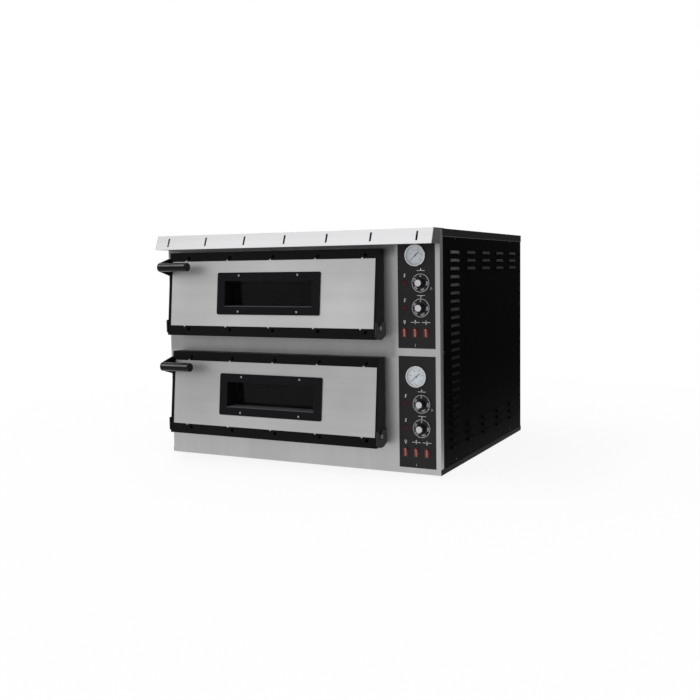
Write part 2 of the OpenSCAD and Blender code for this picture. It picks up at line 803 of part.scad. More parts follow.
// One tubular element: legs along y joined by half-round bends, with both ends at the back.
module element() {
    first = -(element_legs - 1) / 2 * element_step;
    r = element_step / 2;
    for (i = [0:element_legs - 1]) translate([first + i * element_step, 0, 0]) {
        outer = i == 0 || i == element_legs - 1;
        rod_y(element_front, (outer ? chamber_back + 30 : element_back) - element_front, element_d);
    }
    for (i = [0:element_legs - 2]) translate([first + (i + 0.5) * element_step, 0, 0])
        translate([0, i % 2 == 0 ? element_front : element_back, 0])
            rotate([0, 0, i % 2 == 0 ? 180 : 0]) rotate_extrude(angle = 180)
                translate([r, 0]) circle(d = element_d);
}

// Mineral wool slabs round each chamber.
module insulation() color("#d9cf9e") casing()
    for (deck = decks) translate([door_x, 0, floor_z(deck)]) difference() {
        wool_slabs();
        for (z = [element_low_z, element_high_z]) element_ends(z)
            rod_y(chamber_back - 1, wool_t + 3, element_d + 2);
        translate([0, lamp_y, lamp_z]) rod_x(chamber_w / 2 - 1, wool_t + 3, lamp_d + 2 * lamp_lip + 2);
        bulb_places() rod_x(chamber_w / 2 - 1, wool_t + 3, bulb_d + 14);
        for (y = bearer_ys)
            block([-body_w, body_w], [y - 1, y + bearer_w + 1], [-bearer_h - 2, eps - sheet]);
    }

module wool_slabs() {
    half = chamber_w / 2;
    front = 8;
    back = chamber_back + sheet + wool_t;
    top = chamber_h + sheet;
    block([-half - wool_t, half + wool_t], [front, back], [top, top + wool_t]);
    block([-half - wool_t, half + wool_t], [front, back], [-sheet - wool_t * 0.7, -sheet]);
    for (x = [-half - wool_t, half]) block([x, x + wool_t], [front, back], [-sheet, top]);
    block([-half, half], [back - wool_t, back], [-sheet, top]);
}

module lamp_places() for (deck = decks) translate([door_x, lamp_y, floor_z(deck) + lamp_z]) children();

// Lamp cups outside the chambers' right walls.
module lamp_holders() color("#c8c9ca") casing() lamp_places() difference() {
    union() {
        rod_x(mouth_w / 2 + sheet, lamp_l, lamp_d + 2 * lamp_lip - 2);
        rod_x(mouth_w / 2 - 2, sheet + 2 + eps, lamp_d);
        rod_x(mouth_w / 2 - 2, 2, lamp_d + 2 * lamp_lip);
    }
    rod_x(mouth_w / 2 - 3, lamp_l, lamp_d - 6);
}

// Round cover glasses inside the chambers, with the bulbs in the cups behind them.
module oven_lamps() color("#f4f1e4") casing() lamp_places() {
    translate([mouth_w / 2 - 2, 0, 0]) rotate([0, -90, 0]) rotate_extrude()
        polygon([[0, 5], [lamp_d / 2 - 5, 5], [lamp_d / 2 - 5, 0], [lamp_d / 2 + 3, 0],
            [lamp_d / 2 + 3, 4], [lamp_d / 2 - 2, 4], [lamp_d / 2 - 4, 7], [0, 7]]);
    translate([mouth_w / 2 + lamp_l - 3, 0, 0]) rotate([0, -90, 0]) rotate_extrude()
        polygon([[0, 0], [lamp_bulb_d * 0.4, 0], [lamp_bulb_d * 0.4, lamp_l * 0.4],
            [lamp_bulb_d / 2, lamp_l * 0.6], [lamp_bulb_d * 0.4, lamp_l * 0.8], [0, lamp_l * 0.88]]);
}

// Places children where the sensor bulbs pass through a chamber's right wall.
module bulb_places() {
    for (y = bulb_ys) translate([0, y, chamber_h - 5]) children();
    translate([0, low_bulb_in, element_low_z]) children();
}

// Bulbs of the thermometer and the two thermostats of each deck, with their wall nuts.
module sensor_bulbs() color("#c9a063") casing()
    for (deck = decks) translate([door_x, 0, floor_z(deck)]) bulb_places() {
        rod_x(mouth_w / 2 - bulb_l, bulb_l + sheet + 10, bulb_d);
        rod_x(mouth_w / 2 + sheet, 5, bulb_d + 8);
    }

// Woven seals on the front panel, round the mouths.
module mouth_seals() color("#3b3a38") casing()
    for (deck = decks) translate([door_x, 0, deck_z(deck) + mouth_up + mouth_h / 2]) difference() {
        round_plate(mouth_w + 2 * (seal_off + seal_w), mouth_h + 2 * (seal_off + seal_w), seal_w,
            -door_gap + seat, door_gap - seat);
        round_plate(mouth_w + 2 * seal_off, mouth_h + 2 * seal_off, seal_w / 3, -door_gap, door_gap + 1);
    }

// ---------- hinges ----------

// Left face of the left bracket, and the height of a bracket's bottom edge at y.
function bracket_x() = door_left - bracket_gap - bracket_t;
bracket_r = (pow(bracket_reach / 2, 2) + pow(bracket_bow, 2)) / (2 * bracket_bow);
function bracket_sole(y) = bracket_r - bracket_drop
    - sqrt(pow(bracket_r, 2) - pow(y + bracket_reach / 2, 2));

module hinge_brackets() color("#232325") casing()
    for (deck = decks) translate([0, 0, deck_z(deck)]) door_ends() {
        along_x(bracket_x(), bracket_t) bracket_outline();
        block([bracket_x() - bracket_tab, bracket_x() + bracket_t], [sheet, sheet + bracket_t],
            [bracket_sole(sheet + bracket_t), bracket_top]);
    }

// Side outline of a bracket: a bowed bottom edge and an open slot that the pivot screw drops into.
module bracket_outline() difference() {
    intersection() {
        translate([-bracket_reach, -bracket_drop])
            square([bracket_reach + sheet + bracket_t, bracket_top + bracket_drop]);
        translate([-bracket_reach / 2, bracket_r - bracket_drop]) circle(bracket_r, $fn = 96);
    }
    slot = pin_d / 2 + pin_fit;
    translate([-pivot_in, pivot_up]) {
        circle(slot);
        translate([-slot, 0]) square([2 * slot, bracket_top]);
    }
    translate([-pivot_in, bracket_top])
        polygon([[-notch_w / 2, eps], [-slot, -notch_d], [slot, -notch_d], [notch_w / 2, eps]]);
}

// ---------- doors ----------

// Moves children to one deck's door: z from the door's bottom edge.
module door(deck) casing() translate([0, 0, deck_z(deck)]) children();

// Moves children onto the door's leaning front: z runs up the slope, -y points out of it.
module on_front() translate([0, -door_foot_d, 0]) rotate([-lean, 0, 0]) children();

// Side outline of a door, a sheet's thickness t smaller, with its back at y = back.
module door_section(t, back) {
    step = t / cos(lean);
    difference() {
        polygon([[door_front(t) + step, t], [door_front(door_h - t) + step, door_h - t],
            [back, door_h - t], [back, t]]);
        translate([-pivot_in, -1]) square([2 * pivot_in, pivot_up + 1]);
    }
    intersection() {
        translate([-pivot_in, pivot_up]) circle(heel_r - t, $fn = 96);
        translate([-pivot_in - 1, t]) square([heel_r + 1, pivot_up - t + 1]);
    }
}

// The window's opening through the leaning front, grown by g on each side.
module window_hole(g) translate([window_x, 0, window_z])
    block([-window_w / 2 - g, window_w / 2 + g], [-door_foot_d - 20, glass_y],
        [-window_h / 2 - g, window_h / 2 + g]);

module bezel_screw_places() on_front() translate([window_x, 0, window_z / cos(lean)])
    for (x = [-1, 1], z = [-1, 1])
        translate([x * bezel_screws_w / 2, -skin_t - bezel_t, z * bezel_screw_rise]) children();

module pivot_places() door_ends() translate([door_left, -pivot_in, pivot_up]) children();

// Places children at the arm's two screws on the door's left side.
module arm_screw_places()
    for (z = [-1, 1])
        translate([door_left - arm_t, door_front(grip_up) + arm_lap / 2, grip_up + z * arm_h / 4]) children();

module door_frame(deck) color("#19191b") door(deck) difference() {
    union() {
        difference() {
            along_x(door_left, door_w) door_section(0, -door_gap);
            along_x(door_left + door_t, door_w - 2 * door_t) door_section(door_t, 1);
        }
        pivot_places() rod_x(door_t - eps, boss_l, boss_d);
    }
    window_hole(sleeve_t + seat);
    vent_places() rod_y(-1, door_t + 2, vent_d);
    bezel_screw_places() rod_y(0, 12, screw_d + 2 * screw_fit);
    pivot_places() rod_x(-1, boss_l + door_t + 2, pin_d + 2 * screw_fit);
    arm_screw_places() rod_x(0, arm_t + door_t + 1, screw_d + 2 * screw_fit);
}

// Places children at the vent holes in the bands, on the leaning front.
module vent_places() on_front()
    for (i = [0:tab_count - 1]) translate([skin_x + tab_first + i * tab_step, 0, band_bottom / cos(lean)]) {
        translate([vent_shift_bottom, 0, -vent_up]) children();
        translate([vent_shift_top, 0, skin_h + vent_up]) children();
    }

module door_skin(deck) color("#c2c3c4") door(deck) difference() {
    on_front() translate([skin_x, 0, band_bottom / cos(lean)]) {
        block([0, skin_w], [-skin_t, 0], [0, skin_h]);
        for (i = [0:tab_count - 1]) translate([tab_first + i * tab_step, 0, 0])
            block([-tab_w / 2, tab_w / 2], [-skin_t, 0], [-tab_h, skin_h + tab_h]);
    }
    window_hole(sleeve_t + seat);
    bezel_screw_places() rod_y(0, 12, screw_d + 2 * screw_fit);
}

module door_liner(deck) color("#9fa1a2") door(deck) difference() {
    block([door_left + door_t, door_left + door_w - door_t], [liner_y, -door_gap],
        [pivot_up, door_h - door_t]);
    translate([window_x, 0, window_z])
        round_plate(window_w - 2 * liner_window_in, window_h - 2 * liner_window_in, liner_window_r,
            liner_y - 1, liner_t + 2);
}

module door_glass(deck) color("#2c2a26", 0.6) door(deck) translate([window_x, 0, window_z])
    block([-window_w / 2 - glass_lap, window_w / 2 + glass_lap], [glass_y, liner_y],
        [-window_h / 2 - glass_lap, window_h / 2 + glass_lap]);

// Black frame on the skin, with a sleeve that runs back to the glass.
module window_bezel(deck) color("#1c1c20") door(deck) difference() {
    union() {
        on_front() translate([window_x, 0, window_z / cos(lean)])
            round_plate(bezel_w, bezel_h, bezel_r, -skin_t - bezel_t, bezel_t);
        intersection() {
            window_hole(sleeve_t);
            on_front() block([0, body_w], [-skin_t - bezel_t / 2, 2 * door_foot_d], [0, door_h]);
        }
    }
    window_hole_clear();
    bezel_screw_places() rod_y(-1, bezel_t + 2, screw_d + 2 * screw_fit);
}

// The window's clear opening, run past both ends of the sleeve.
module window_hole_clear() translate([window_x, 0, window_z])
    block([-window_w / 2, window_w / 2], [-door_foot_d - 20, 1], [-window_h / 2, window_h / 2]);

// Wool pad against the inner sheet, cut out for the glass and the sleeve.
module door_insulation(deck) color("#d9cf9e") door(deck) difference() {
    block([door_left + pad_in, door_left + door_w - pad_in], [liner_y - pad_t, liner_y],
        [pivot_up + boss_d / 2 + seat, door_h - band_top]);
    window_hole(sleeve_t + seat);
    translate([window_x, 0, window_z])
        block([-window_w / 2 - glass_lap - seat, window_w / 2 + glass_lap + seat], [glass_y - seat, 1],
            [-window_h / 2 - glass_lap - seat, window_h / 2 + glass_lap + seat]);
}

module handle_arm(deck) color("#1a1a1c") door(deck) difference() {
    along_x(door_left - arm_t, arm_t) arm_outline();
    arm_screw_places() rod_x(-1, arm_t + 2, screw_d + 2 * screw_fit);
    translate([0, -grip_out, grip_up]) rod_x(door_left - arm_t - 1, arm_t + 2, 2 * screw_d + 2 * screw_fit);
}

// Side outline of the arm: a foot on the door that tapers to a round end about the grip.
module arm_outline() {
    centre = [-grip_out, grip_up];
    r = grip_d / 2;
    front = door_front(grip_up) - 2;
    top = [front, grip_up + arm_h / 2];
    low = [front, grip_up - arm_h / 2];
    from = touch_angle(top, centre, r, 1);
    to = 360 + touch_angle(low, centre, r, -1);
    polygon(concat([for (i = [0:arm_facets]) centre + r * [cos(from + (to - from) * i / arm_facets),
        sin(from + (to - from) * i / arm_facets)]],
        [low, [front + arm_lap, low[1]], [front + arm_lap, top[1]], top]));
}

module handle_grip(deck) color("#151517") door(deck)
    translate([door_left, -grip_out, grip_up]) difference() {
        union() {
            rod_x(0, grip_l - grip_edge, grip_d);
            rod_x(grip_l - grip_edge - eps, grip_edge + eps, grip_d - 2 * grip_edge);
            translate([grip_l - grip_edge, 0, 0]) rotate([0, 90, 0]) rotate_extrude()
                translate([grip_d / 2 - grip_edge, 0]) circle(grip_edge);
        }
        rod_x(-1, grip_hole, 2 * screw_d + 2 * screw_fit);
    }

// Pivot screws, bezel screws, arm screws and the bolt that holds the grip.
module door_screws(deck) color("#c9cacb") door(deck) {
    pivot_places() pivot_screw();
    bezel_screw_places() screw_y(bezel_t + skin_t + door_t + 2, head_d = bezel_head_d);
    arm_screw_places() rotate([0, 0, -90]) screw_y(arm_t + door_t + 4);
    translate([door_left - arm_t, -grip_out, grip_up]) rotate([0, 0, -90])
        screw_y(arm_t + grip_hole - 3, 2 * screw_d, 3.5 * screw_d, 3);
}

// Shoulder screw from outside the bracket into the door's boss, drawn on the left.
module pivot_screw() {
    out = bracket_gap + bracket_t + seat;
    difference() {
        union() {
            rod_x(-out - eps, out + door_t + boss_l, pin_d);
            rod_x(-out - pin_head_h, pin_head_h, pin_head_d);
        }
        translate([-out - pin_head_h - 1, 0, 0]) rotate([0, 90, 0])
            cylinder(h = 3, d = pin_head_d / 2.2, $fn = 6);
    }
}

module door_frame_lower() door_frame(0);
module door_skin_lower() door_skin(0);
module door_liner_lower() door_liner(0);
module door_glass_lower() door_glass(0);
module window_bezel_lower() window_bezel(0);
module door_insulation_lower() door_insulation(0);
module handle_arm_lower() handle_arm(0);
module handle_grip_lower() handle_grip(0);
module door_screws_lower() door_screws(0);
module door_frame_upper() door_frame(1);
module door_skin_upper() door_skin(1);
module door_liner_upper() door_liner(1);
module door_glass_upper() door_glass(1);
module window_bezel_upper() window_bezel(1);
module door_insulation_upper() door_insulation(1);
module handle_arm_upper() handle_arm(1);
module handle_grip_upper() handle_grip(1);
module door_screws_upper() door_screws(1);

// ---------- controls ----------

// Moves children to one deck's control plate: x and z from its lower left corner.
module plate(deck) translate([plate_x, 0, plate_z(deck)]) children();

module knob_places(deck) plate(deck) for (z = knob_zs) translate([knob_across, 0, z]) children();

module pilot_places(deck) plate(deck) for (z = knob_zs) translate([pilot_across, 0, z]) children();

module switch_place(deck, i) plate(deck)
    translate([switch_first + i * switch_step, 0, switch_up]) children();

// Everything that passes through the front panel and a control plate.
module control_holes(deck, y0, length) {
    plate(deck) translate([gauge_across, 0, gauge_up]) rod_y(y0, length, 2 * gauge_r + 2 * seat);
    knob_places(deck) rod_y(y0, length, socket_d + 2 * seat);
    pilot_places(deck) rod_y(y0, length, pilot_d - 2 * pilot_rim + 2 * seat);
    for (i = switch_ids) switch_place(deck, i)
        block([-rocker_w / 2 - switch_wall - seat, rocker_w / 2 + switch_wall + seat], [y0, y0 + length],
            [-rocker_h / 2 - switch_wall - seat, rocker_h / 2 + switch_wall + seat]);
}

module control_plates() color("#1d1b1c") casing() for (deck = decks) difference() {
    plate(deck) block([0, plate_w], [-plate_t, 0], [0, plate_h]);
    control_holes(deck, -plate_t - 1, plate_t + 2);
}

module gauge_places() for (deck = decks) plate(deck) translate([gauge_across, 0, gauge_up]) children();

// Round case with a rim that laps the control plate. Outline: radius, then depth along y.
module gauge_cases() color("#c6c9cc") casing() gauge_places() turned_y()
    polygon([[0, gauge_depth - 2], [gauge_r - 2, gauge_depth - 2], [gauge_r - 2, 2], [1 + shaft_fit, 2],
        [1 + shaft_fit, 0], [gauge_r - 0.5, 0], [gauge_r - 0.5, -plate_t - gauge_out],
        [gauge_r + gauge_rim - 1, -plate_t - gauge_out], [gauge_r + gauge_rim, -plate_t - gauge_out + 1],
        [gauge_r + gauge_rim, -plate_t], [gauge_r, -plate_t], [gauge_r, gauge_depth], [0, gauge_depth]]);

module gauge_dials() color("#e9eceb") casing() gauge_places() difference() {
    rod_y(-0.8, 0.8, 2 * gauge_r - 1.4);
    rod_y(-2, 4, 2 + 2 * shaft_fit);
}

module gauge_glasses() color("#dfe8ee", 0.3) casing() gauge_places()
    rod_y(-plate_t - gauge_out + 1, 2, 2 * gauge_r - 1.4);

// Pointer with a long thin tip and a short broad tail, on its arbor.
module needle(deck) color("#2d3c52") casing() plate(deck) translate([gauge_across, 0, gauge_up]) {
    rod_y(-2.4, 4, 2);
    rod_y(-2.4, 1, 6);
    rotate([0, needle_cold, 0]) {
        translate([0, -1.4, 0]) rotate([90, 0, 0]) linear_extrude(0.6)
            polygon([[-1.6, -needle_short], [1.6, -needle_short], [0.4, needle_long], [-0.4, needle_long]]);
    }
}

module needle_lower() needle(0);
module needle_upper() needle(1);

// Thermostat bodies behind the front panel, each with a socket for its knob's shaft.
module thermostats() color("#d8d6cf") casing() for (deck = decks) knob_places(deck) difference() {
    union() {
        block([-thermostat_w / 2, thermostat_w / 2], [sheet, sheet + thermostat_d],
            [-thermostat_w / 2, thermostat_w / 2]);
        rod_y(-plate_t - 0.2, sheet + plate_t + 1, socket_d);
    }
    rod_y(-plate_t - 1, plate_t + sheet + 14, shaft_d + 2 * shaft_fit);
}

// Dial knob: skirt, tapered body and the shaft behind it. The pointer's groove marks zero.
module knob(deck, i) color("#18181a") casing() plate(deck) translate([knob_across, 0, knob_zs[i]]) {
    back = -plate_t - skirt_gap;
    rod_y(back, plate_t + skirt_gap + sheet + 12, shaft_d);
    rod_y(back - skirt_t, skirt_t + eps, skirt_d);
    translate([0, back - skirt_t + eps, 0]) rotate([90, 0, 0])
        cylinder(h = knob_out - skirt_t - skirt_gap, d1 = knob_root_d, d2 = knob_tip_d);
}

module floor_knob_lower() knob(0, 0);
module ceiling_knob_lower() knob(0, 1);
module floor_knob_upper() knob(1, 0);
module ceiling_knob_upper() knob(1, 1);

// Pilot lamps: a red lens in front of the plate and a round body behind it.
module pilot_lamps() color("#6d1519") casing() for (deck = decks) pilot_places(deck) {
    rod_y(-plate_t - pilot_rim_h, pilot_rim_h, pilot_d);
    rod_y(-plate_t - eps, plate_t + sheet + pilot_l, pilot_d - 2 * pilot_rim);
    translate([0, -plate_t - pilot_rim_h + eps, 0]) rotate([90, 0, 0])
        cylinder(h = lens_h, d1 = pilot_d - 2 * pilot_rim, d2 = pilot_d - 2 * pilot_rim - 1.6 * lens_h);
}

// Switch bodies, with a rim on the plate and a pocket for the rocker.
module switch_housings() color("#161617") casing() for (deck = decks, i = switch_ids)
    switch_place(deck, i) difference() {
        w = rocker_w / 2 + switch_wall;
        h = rocker_h / 2 + switch_wall;
        pin = rocker_w / 2 + 0.9 * switch_wall;
        union() {
            block([-w - switch_rim, w + switch_rim], [-plate_t - switch_rim_h, -plate_t],
                [-h - switch_rim, h + switch_rim]);
            block([-w, w], [-plate_t - eps, sheet + switch_depth], [-h, h]);
        }
        block([-rocker_w / 2 - seat, rocker_w / 2 + seat],
            [-plate_t - 2 * switch_rim_h, sheet + switch_depth - switch_base],
            [-rocker_h / 2 - seat, rocker_h / 2 + seat]);
        rod_x(-pin, 2 * pin, rocker_pin_d + 2 * shaft_fit);
    }

// Rocker with two faces that meet in a shallow dip, turned to its off position.
module rocker(deck, i) color("#b3161b") casing() switch_place(deck, i) rotate([rocker_tilt, 0, 0]) {
    w = rocker_w / 2;
    h = rocker_h / 2;
    dip = -plate_t - rocker_up;
    tip = dip - h * tan(rocker_tilt);
    lip = tip + rocker_up - rocker_lip;
    along_x(-w, rocker_w)
        polygon([[dip, 0], [tip, h - 1.5 * rocker_lip], [lip, h - rocker_lip / 2], [plate_t, h - 1],
            [rocker_in, h * 0.3], [rocker_in, -h * 0.3], [plate_t, 1 - h], [lip, rocker_lip / 2 - h],
            [tip, 1.5 * rocker_lip - h]]);
    rod_x(-w - 0.6 * switch_wall, rocker_w + 1.2 * switch_wall, rocker_pin_d);
}

module lamp_rocker_lower() rocker(0, 0);
module ceiling_rocker_lower() rocker(0, 1);
module floor_rocker_lower() rocker(0, 2);
module lamp_rocker_upper() rocker(1, 0);
module ceiling_rocker_upper() rocker(1, 1);
module floor_rocker_upper() rocker(1, 2);

// Terminal block on the base pan, in the control bay.
module terminal_block() color("#e7e4da") casing()
    translate([body_w - gland_right - terminal_l / 2, back_inner - terminal_in - terminal_w, sheet])
        difference() {
            block([0, terminal_l], [0, terminal_w], [0, terminal_h]);
            for (i = [0.5:4.5]) translate([i * terminal_l / 5, 0, 0]) {
                translate([0, terminal_w / 2, terminal_h - 12]) cylinder(h = 20, d = 6);
                translate([0, 0, terminal_h - 18]) rod_y(-1, 10, 7);
            }
        }

// Cable gland in the back panel: lock nut inside, hexagon and dome nut outside, bored through.
module cable_gland() color("#2a2a2c") casing() translate([body_w - gland_right, 0, gland_up]) difference() {
    union() {
        rod_y(back_inner - 8, 8 + sheet + gland_out, gland_d);
        translate([0, back_inner, 0]) rotate([90, 0, 0]) cylinder(h = gland_nut, d = gland_d + 12, $fn = 6);
        translate([0, back_inner + sheet, 0]) rotate([-90, 0, 0])
            cylinder(h = gland_nut + 1, d = gland_d + 10, $fn = 6);
        translate([0, back_inner + sheet + gland_nut + 1, 0]) rotate([-90, 0, 0])
            cylinder(h = gland_out - gland_nut - 1, d1 = gland_d + 6, d2 = gland_d);
    }
    rod_y(back_inner - 10, gland_out + 20, cable_d);
}

base_pan();
feet();
frame_rails();
front_panel();
left_side_panel();
right_side_panel();
back_panel();
top_cover();
hood();
casing_screws();
bulkhead();
chamber_lower();
chamber_upper();
stones();
heating_elements();
insulation();
lamp_holders();
oven_lamps();
sensor_bulbs();
mouth_seals();
hinge_brackets();
control_plates();
gauge_cases();
gauge_dials();
gauge_glasses();
thermostats();
pilot_lamps();
switch_housings();
terminal_block();
cable_gland();
needle_lower();
needle_upper();
floor_knob_lower();
ceiling_knob_lower();
floor_knob_upper();
ceiling_knob_upper();
lamp_rocker_lower();
ceiling_rocker_lower();
floor_rocker_lower();
lamp_rocker_upper();
ceiling_rocker_upper();
floor_rocker_upper();
door_frame_lower();
door_skin_lower();
door_liner_lower();
door_glass_lower();
window_bezel_lower();
door_insulation_lower();
handle_arm_lower();
handle_grip_lower();
door_screws_lower();
door_frame_upper();
door_skin_upper();
door_liner_upper();
door_glass_upper();
window_bezel_upper();
door_insulation_upper();
handle_arm_upper();
handle_grip_upper();
door_screws_upper();
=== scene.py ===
"""Double-deck electric pizza oven: finishes, printed marks, small fittings and the studio."""

import json
import math

import bpy
from bpy.props import FloatProperty, FloatVectorProperty, IntProperty, PointerProperty
from bpy.types import Operator, Panel, PropertyGroup
from mathutils import Matrix, Vector


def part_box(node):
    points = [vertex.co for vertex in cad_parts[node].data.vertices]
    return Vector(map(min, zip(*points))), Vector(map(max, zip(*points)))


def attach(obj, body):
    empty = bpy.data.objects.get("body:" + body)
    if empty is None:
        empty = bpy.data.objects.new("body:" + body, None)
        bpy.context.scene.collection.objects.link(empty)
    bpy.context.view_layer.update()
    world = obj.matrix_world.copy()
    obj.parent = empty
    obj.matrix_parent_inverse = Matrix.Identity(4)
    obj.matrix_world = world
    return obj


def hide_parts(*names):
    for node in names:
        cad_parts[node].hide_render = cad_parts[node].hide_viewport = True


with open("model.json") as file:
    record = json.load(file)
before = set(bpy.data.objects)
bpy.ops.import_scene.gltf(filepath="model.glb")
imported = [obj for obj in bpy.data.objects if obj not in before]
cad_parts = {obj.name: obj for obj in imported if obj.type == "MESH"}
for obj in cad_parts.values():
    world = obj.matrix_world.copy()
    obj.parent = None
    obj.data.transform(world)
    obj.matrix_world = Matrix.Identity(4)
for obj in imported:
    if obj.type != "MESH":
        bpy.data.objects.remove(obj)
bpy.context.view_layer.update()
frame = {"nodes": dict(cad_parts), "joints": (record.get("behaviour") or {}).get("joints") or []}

bl_info = {
    "name": "Deck Pizza Oven",
    "version": (1, 0, 0),
    "blender": (4, 5, 0),
    "location": "View3D > Sidebar > Oven",
    "description": "Finishes, marks, fittings and studio of a double-deck pizza oven",
    "category": "Object",
}

MM = 0.001
DECKS = ("lower", "upper")
ZONES = ("floor", "ceiling")
SWITCHES = ("lamp", "ceiling", "floor")
LOUVRE_OUT = 4.6 * MM  # how far a louvre stands out of its side panel
GLASS_LAP = 12 * MM  # how far a bezel's sleeve covers the door's glass

# A knob's skirt, grip, pale cap and shaft
SKIRT_DEPTH = 2.5 * MM
SHAFT_REACH = 14.7 * MM
SHAFT_RADIUS = 3 * MM
GRIP_FOOT_RADIUS = 15 * MM
GRIP_TIP_RADIUS = 12 * MM
FLUTE_DIP = 0.035
CAP_DEPTH = 1.2 * MM
CAP_RADIUS = 10 * MM
KNOB_SWEEP = math.radians(300)
KNOB_STEP_DEGREES = 50

# Marks on a knob's skirt, inward from its rim
RING_IN, TICK_OUTER_IN, TICK_INNER_IN, NUMBER_IN = 0.8 * MM, 2.4 * MM, 4.6 * MM, 8.4 * MM

# A thermometer's scale, with its radii as shares of the dial's
TICKS_PER_STEP = 5
GAUGE_STEP_DEGREES = 100
TICK_END, TICK_START, LONG_TICK_START, NUMBER_PLACE = 0.93, 0.86, 0.80, 0.64

# Marks on a control plate, from the axis of the knob or rocker that they go with
KNOB_MARK_UP = 37.5 * MM
SPARK_LEFT, SPARK_UP = 53.5 * MM, 23 * MM
RING_RIGHT, RING_DOWN = 33 * MM, 17 * MM
ROCKER_MARK_UP = 31.5 * MM
TICK_LEFT, TICK_LOW, TICK_HIGH = 35.5 * MM, 43 * MM, 35 * MM


# ---------- sizes and colours that a user would change ----------

class OvenFinish(PropertyGroup):
    steel: FloatVectorProperty(
        name="Steel", description="Colour of the stainless panels and door skins",
        subtype="COLOR", size=3, min=0, max=1, default=(0.48, 0.48, 0.478))
    hood_steel: FloatVectorProperty(
        name="Hood steel", description="Colour of the bright stainless hood",
        subtype="COLOR", size=3, min=0, max=1, default=(0.71, 0.71, 0.72))
    casing_black: FloatVectorProperty(
        name="Casing black", description="Colour of the powder coat on the lid, sides, back and base",
        subtype="COLOR", size=3, min=0, max=1, default=(0.0009, 0.0009, 0.0011))
    door_black: FloatVectorProperty(
        name="Door black", description="Colour of the enamel on the doors and arms",
        subtype="COLOR", size=3, min=0, max=1, default=(0.0045, 0.0043, 0.0042))
    switch_red: FloatVectorProperty(
        name="Switch red", description="Colour of the rocker switches",
        subtype="COLOR", size=3, min=0, max=1, default=(0.11, 0.004, 0.007))
    lens_red: FloatVectorProperty(
        name="Lens red", description="Colour of the unlit pilot lamps",
        subtype="COLOR", size=3, min=0, max=1, default=(0.05, 0.004, 0.006))
    print_white: FloatVectorProperty(
        name="Print white", description="Colour of the printed marks",
        subtype="COLOR", size=3, min=0, max=1, default=(0.90, 0.90, 0.92))


class OvenSizes(PropertyGroup):
    print_height: FloatProperty(
        name="Print height", description="Thickness of a printed mark",
        subtype="DISTANCE", unit="LENGTH", default=0.15 * MM)
    numeral: FloatProperty(
        name="Numeral", description="Height of the numerals on the knobs",
        subtype="DISTANCE", unit="LENGTH", default=6.2 * MM)
    ring: FloatProperty(
        name="Ring", description="Width of the white ring round a knob's skirt",
        subtype="DISTANCE", unit="LENGTH", default=1.05 * MM)
    knob_steps: IntProperty(
        name="Knob steps", description="Numbered steps on a knob after zero", default=9, min=3, max=11)
    knob_flutes: IntProperty(
        name="Flutes", description="Flutes round a knob's grip", default=18, min=8, max=30)
    gauge_steps: IntProperty(
        name="Gauge steps", description="Numbered steps on a thermometer after zero", default=5, min=3, max=8)
    edge: FloatProperty(
        name="Edge", description="Radius of the moulded edges",
        subtype="DISTANCE", unit="LENGTH", default=0.6 * MM)


class OvenStage(PropertyGroup):
    floor: FloatProperty(
        name="Floor", description="Width of the floor", unit="LENGTH", default=14.0)
    key_power: FloatProperty(name="Key", description="Power of the soft lamp in watts", default=30.0)
    sky: FloatProperty(name="Sky", description="Brightness of the soft light all round", default=0.75)
    lens: FloatProperty(name="Lens", description="Focal length of the camera in millimetres", default=46.56)


# ---------- shader maths ----------

class Value:
    """A number in a material. Python's operators on it add Math nodes."""

    def __init__(self, recipe, socket):
        self.recipe = recipe
        self.socket = socket

    def math(self, operation, *others):
        inputs = {i: v for i, v in enumerate((self, *others))}
        return self.recipe.node("Math", {"operation": operation}, inputs)

    def __add__(self, other): return self.math("ADD", other)
    def __sub__(self, other): return self.math("SUBTRACT", other)
    def __mul__(self, other): return self.math("MULTIPLY", other)
    def __truediv__(self, other): return self.math("DIVIDE", other)
    def __pow__(self, other): return self.math("POWER", other)
    def __rsub__(self, other): return self.recipe.number("SUBTRACT", other, self)

    def size(self): return self.math("ABSOLUTE")
    def above(self, edge): return self.math("GREATER_THAN", edge)
    def clamped(self): return self.recipe.node("Clamp", {}, {"Value": self})

    def rise(self, first, last):
        """0 up to the first number, 1 from the last one on, and even in between."""
        return ((self - first) * (1 / (last - first))).clamped()

    def fall(self, first, last):
        """1 up to the first number, 0 from the last one on, and even in between."""
        return ((last - self) * (1 / (last - first))).clamped()


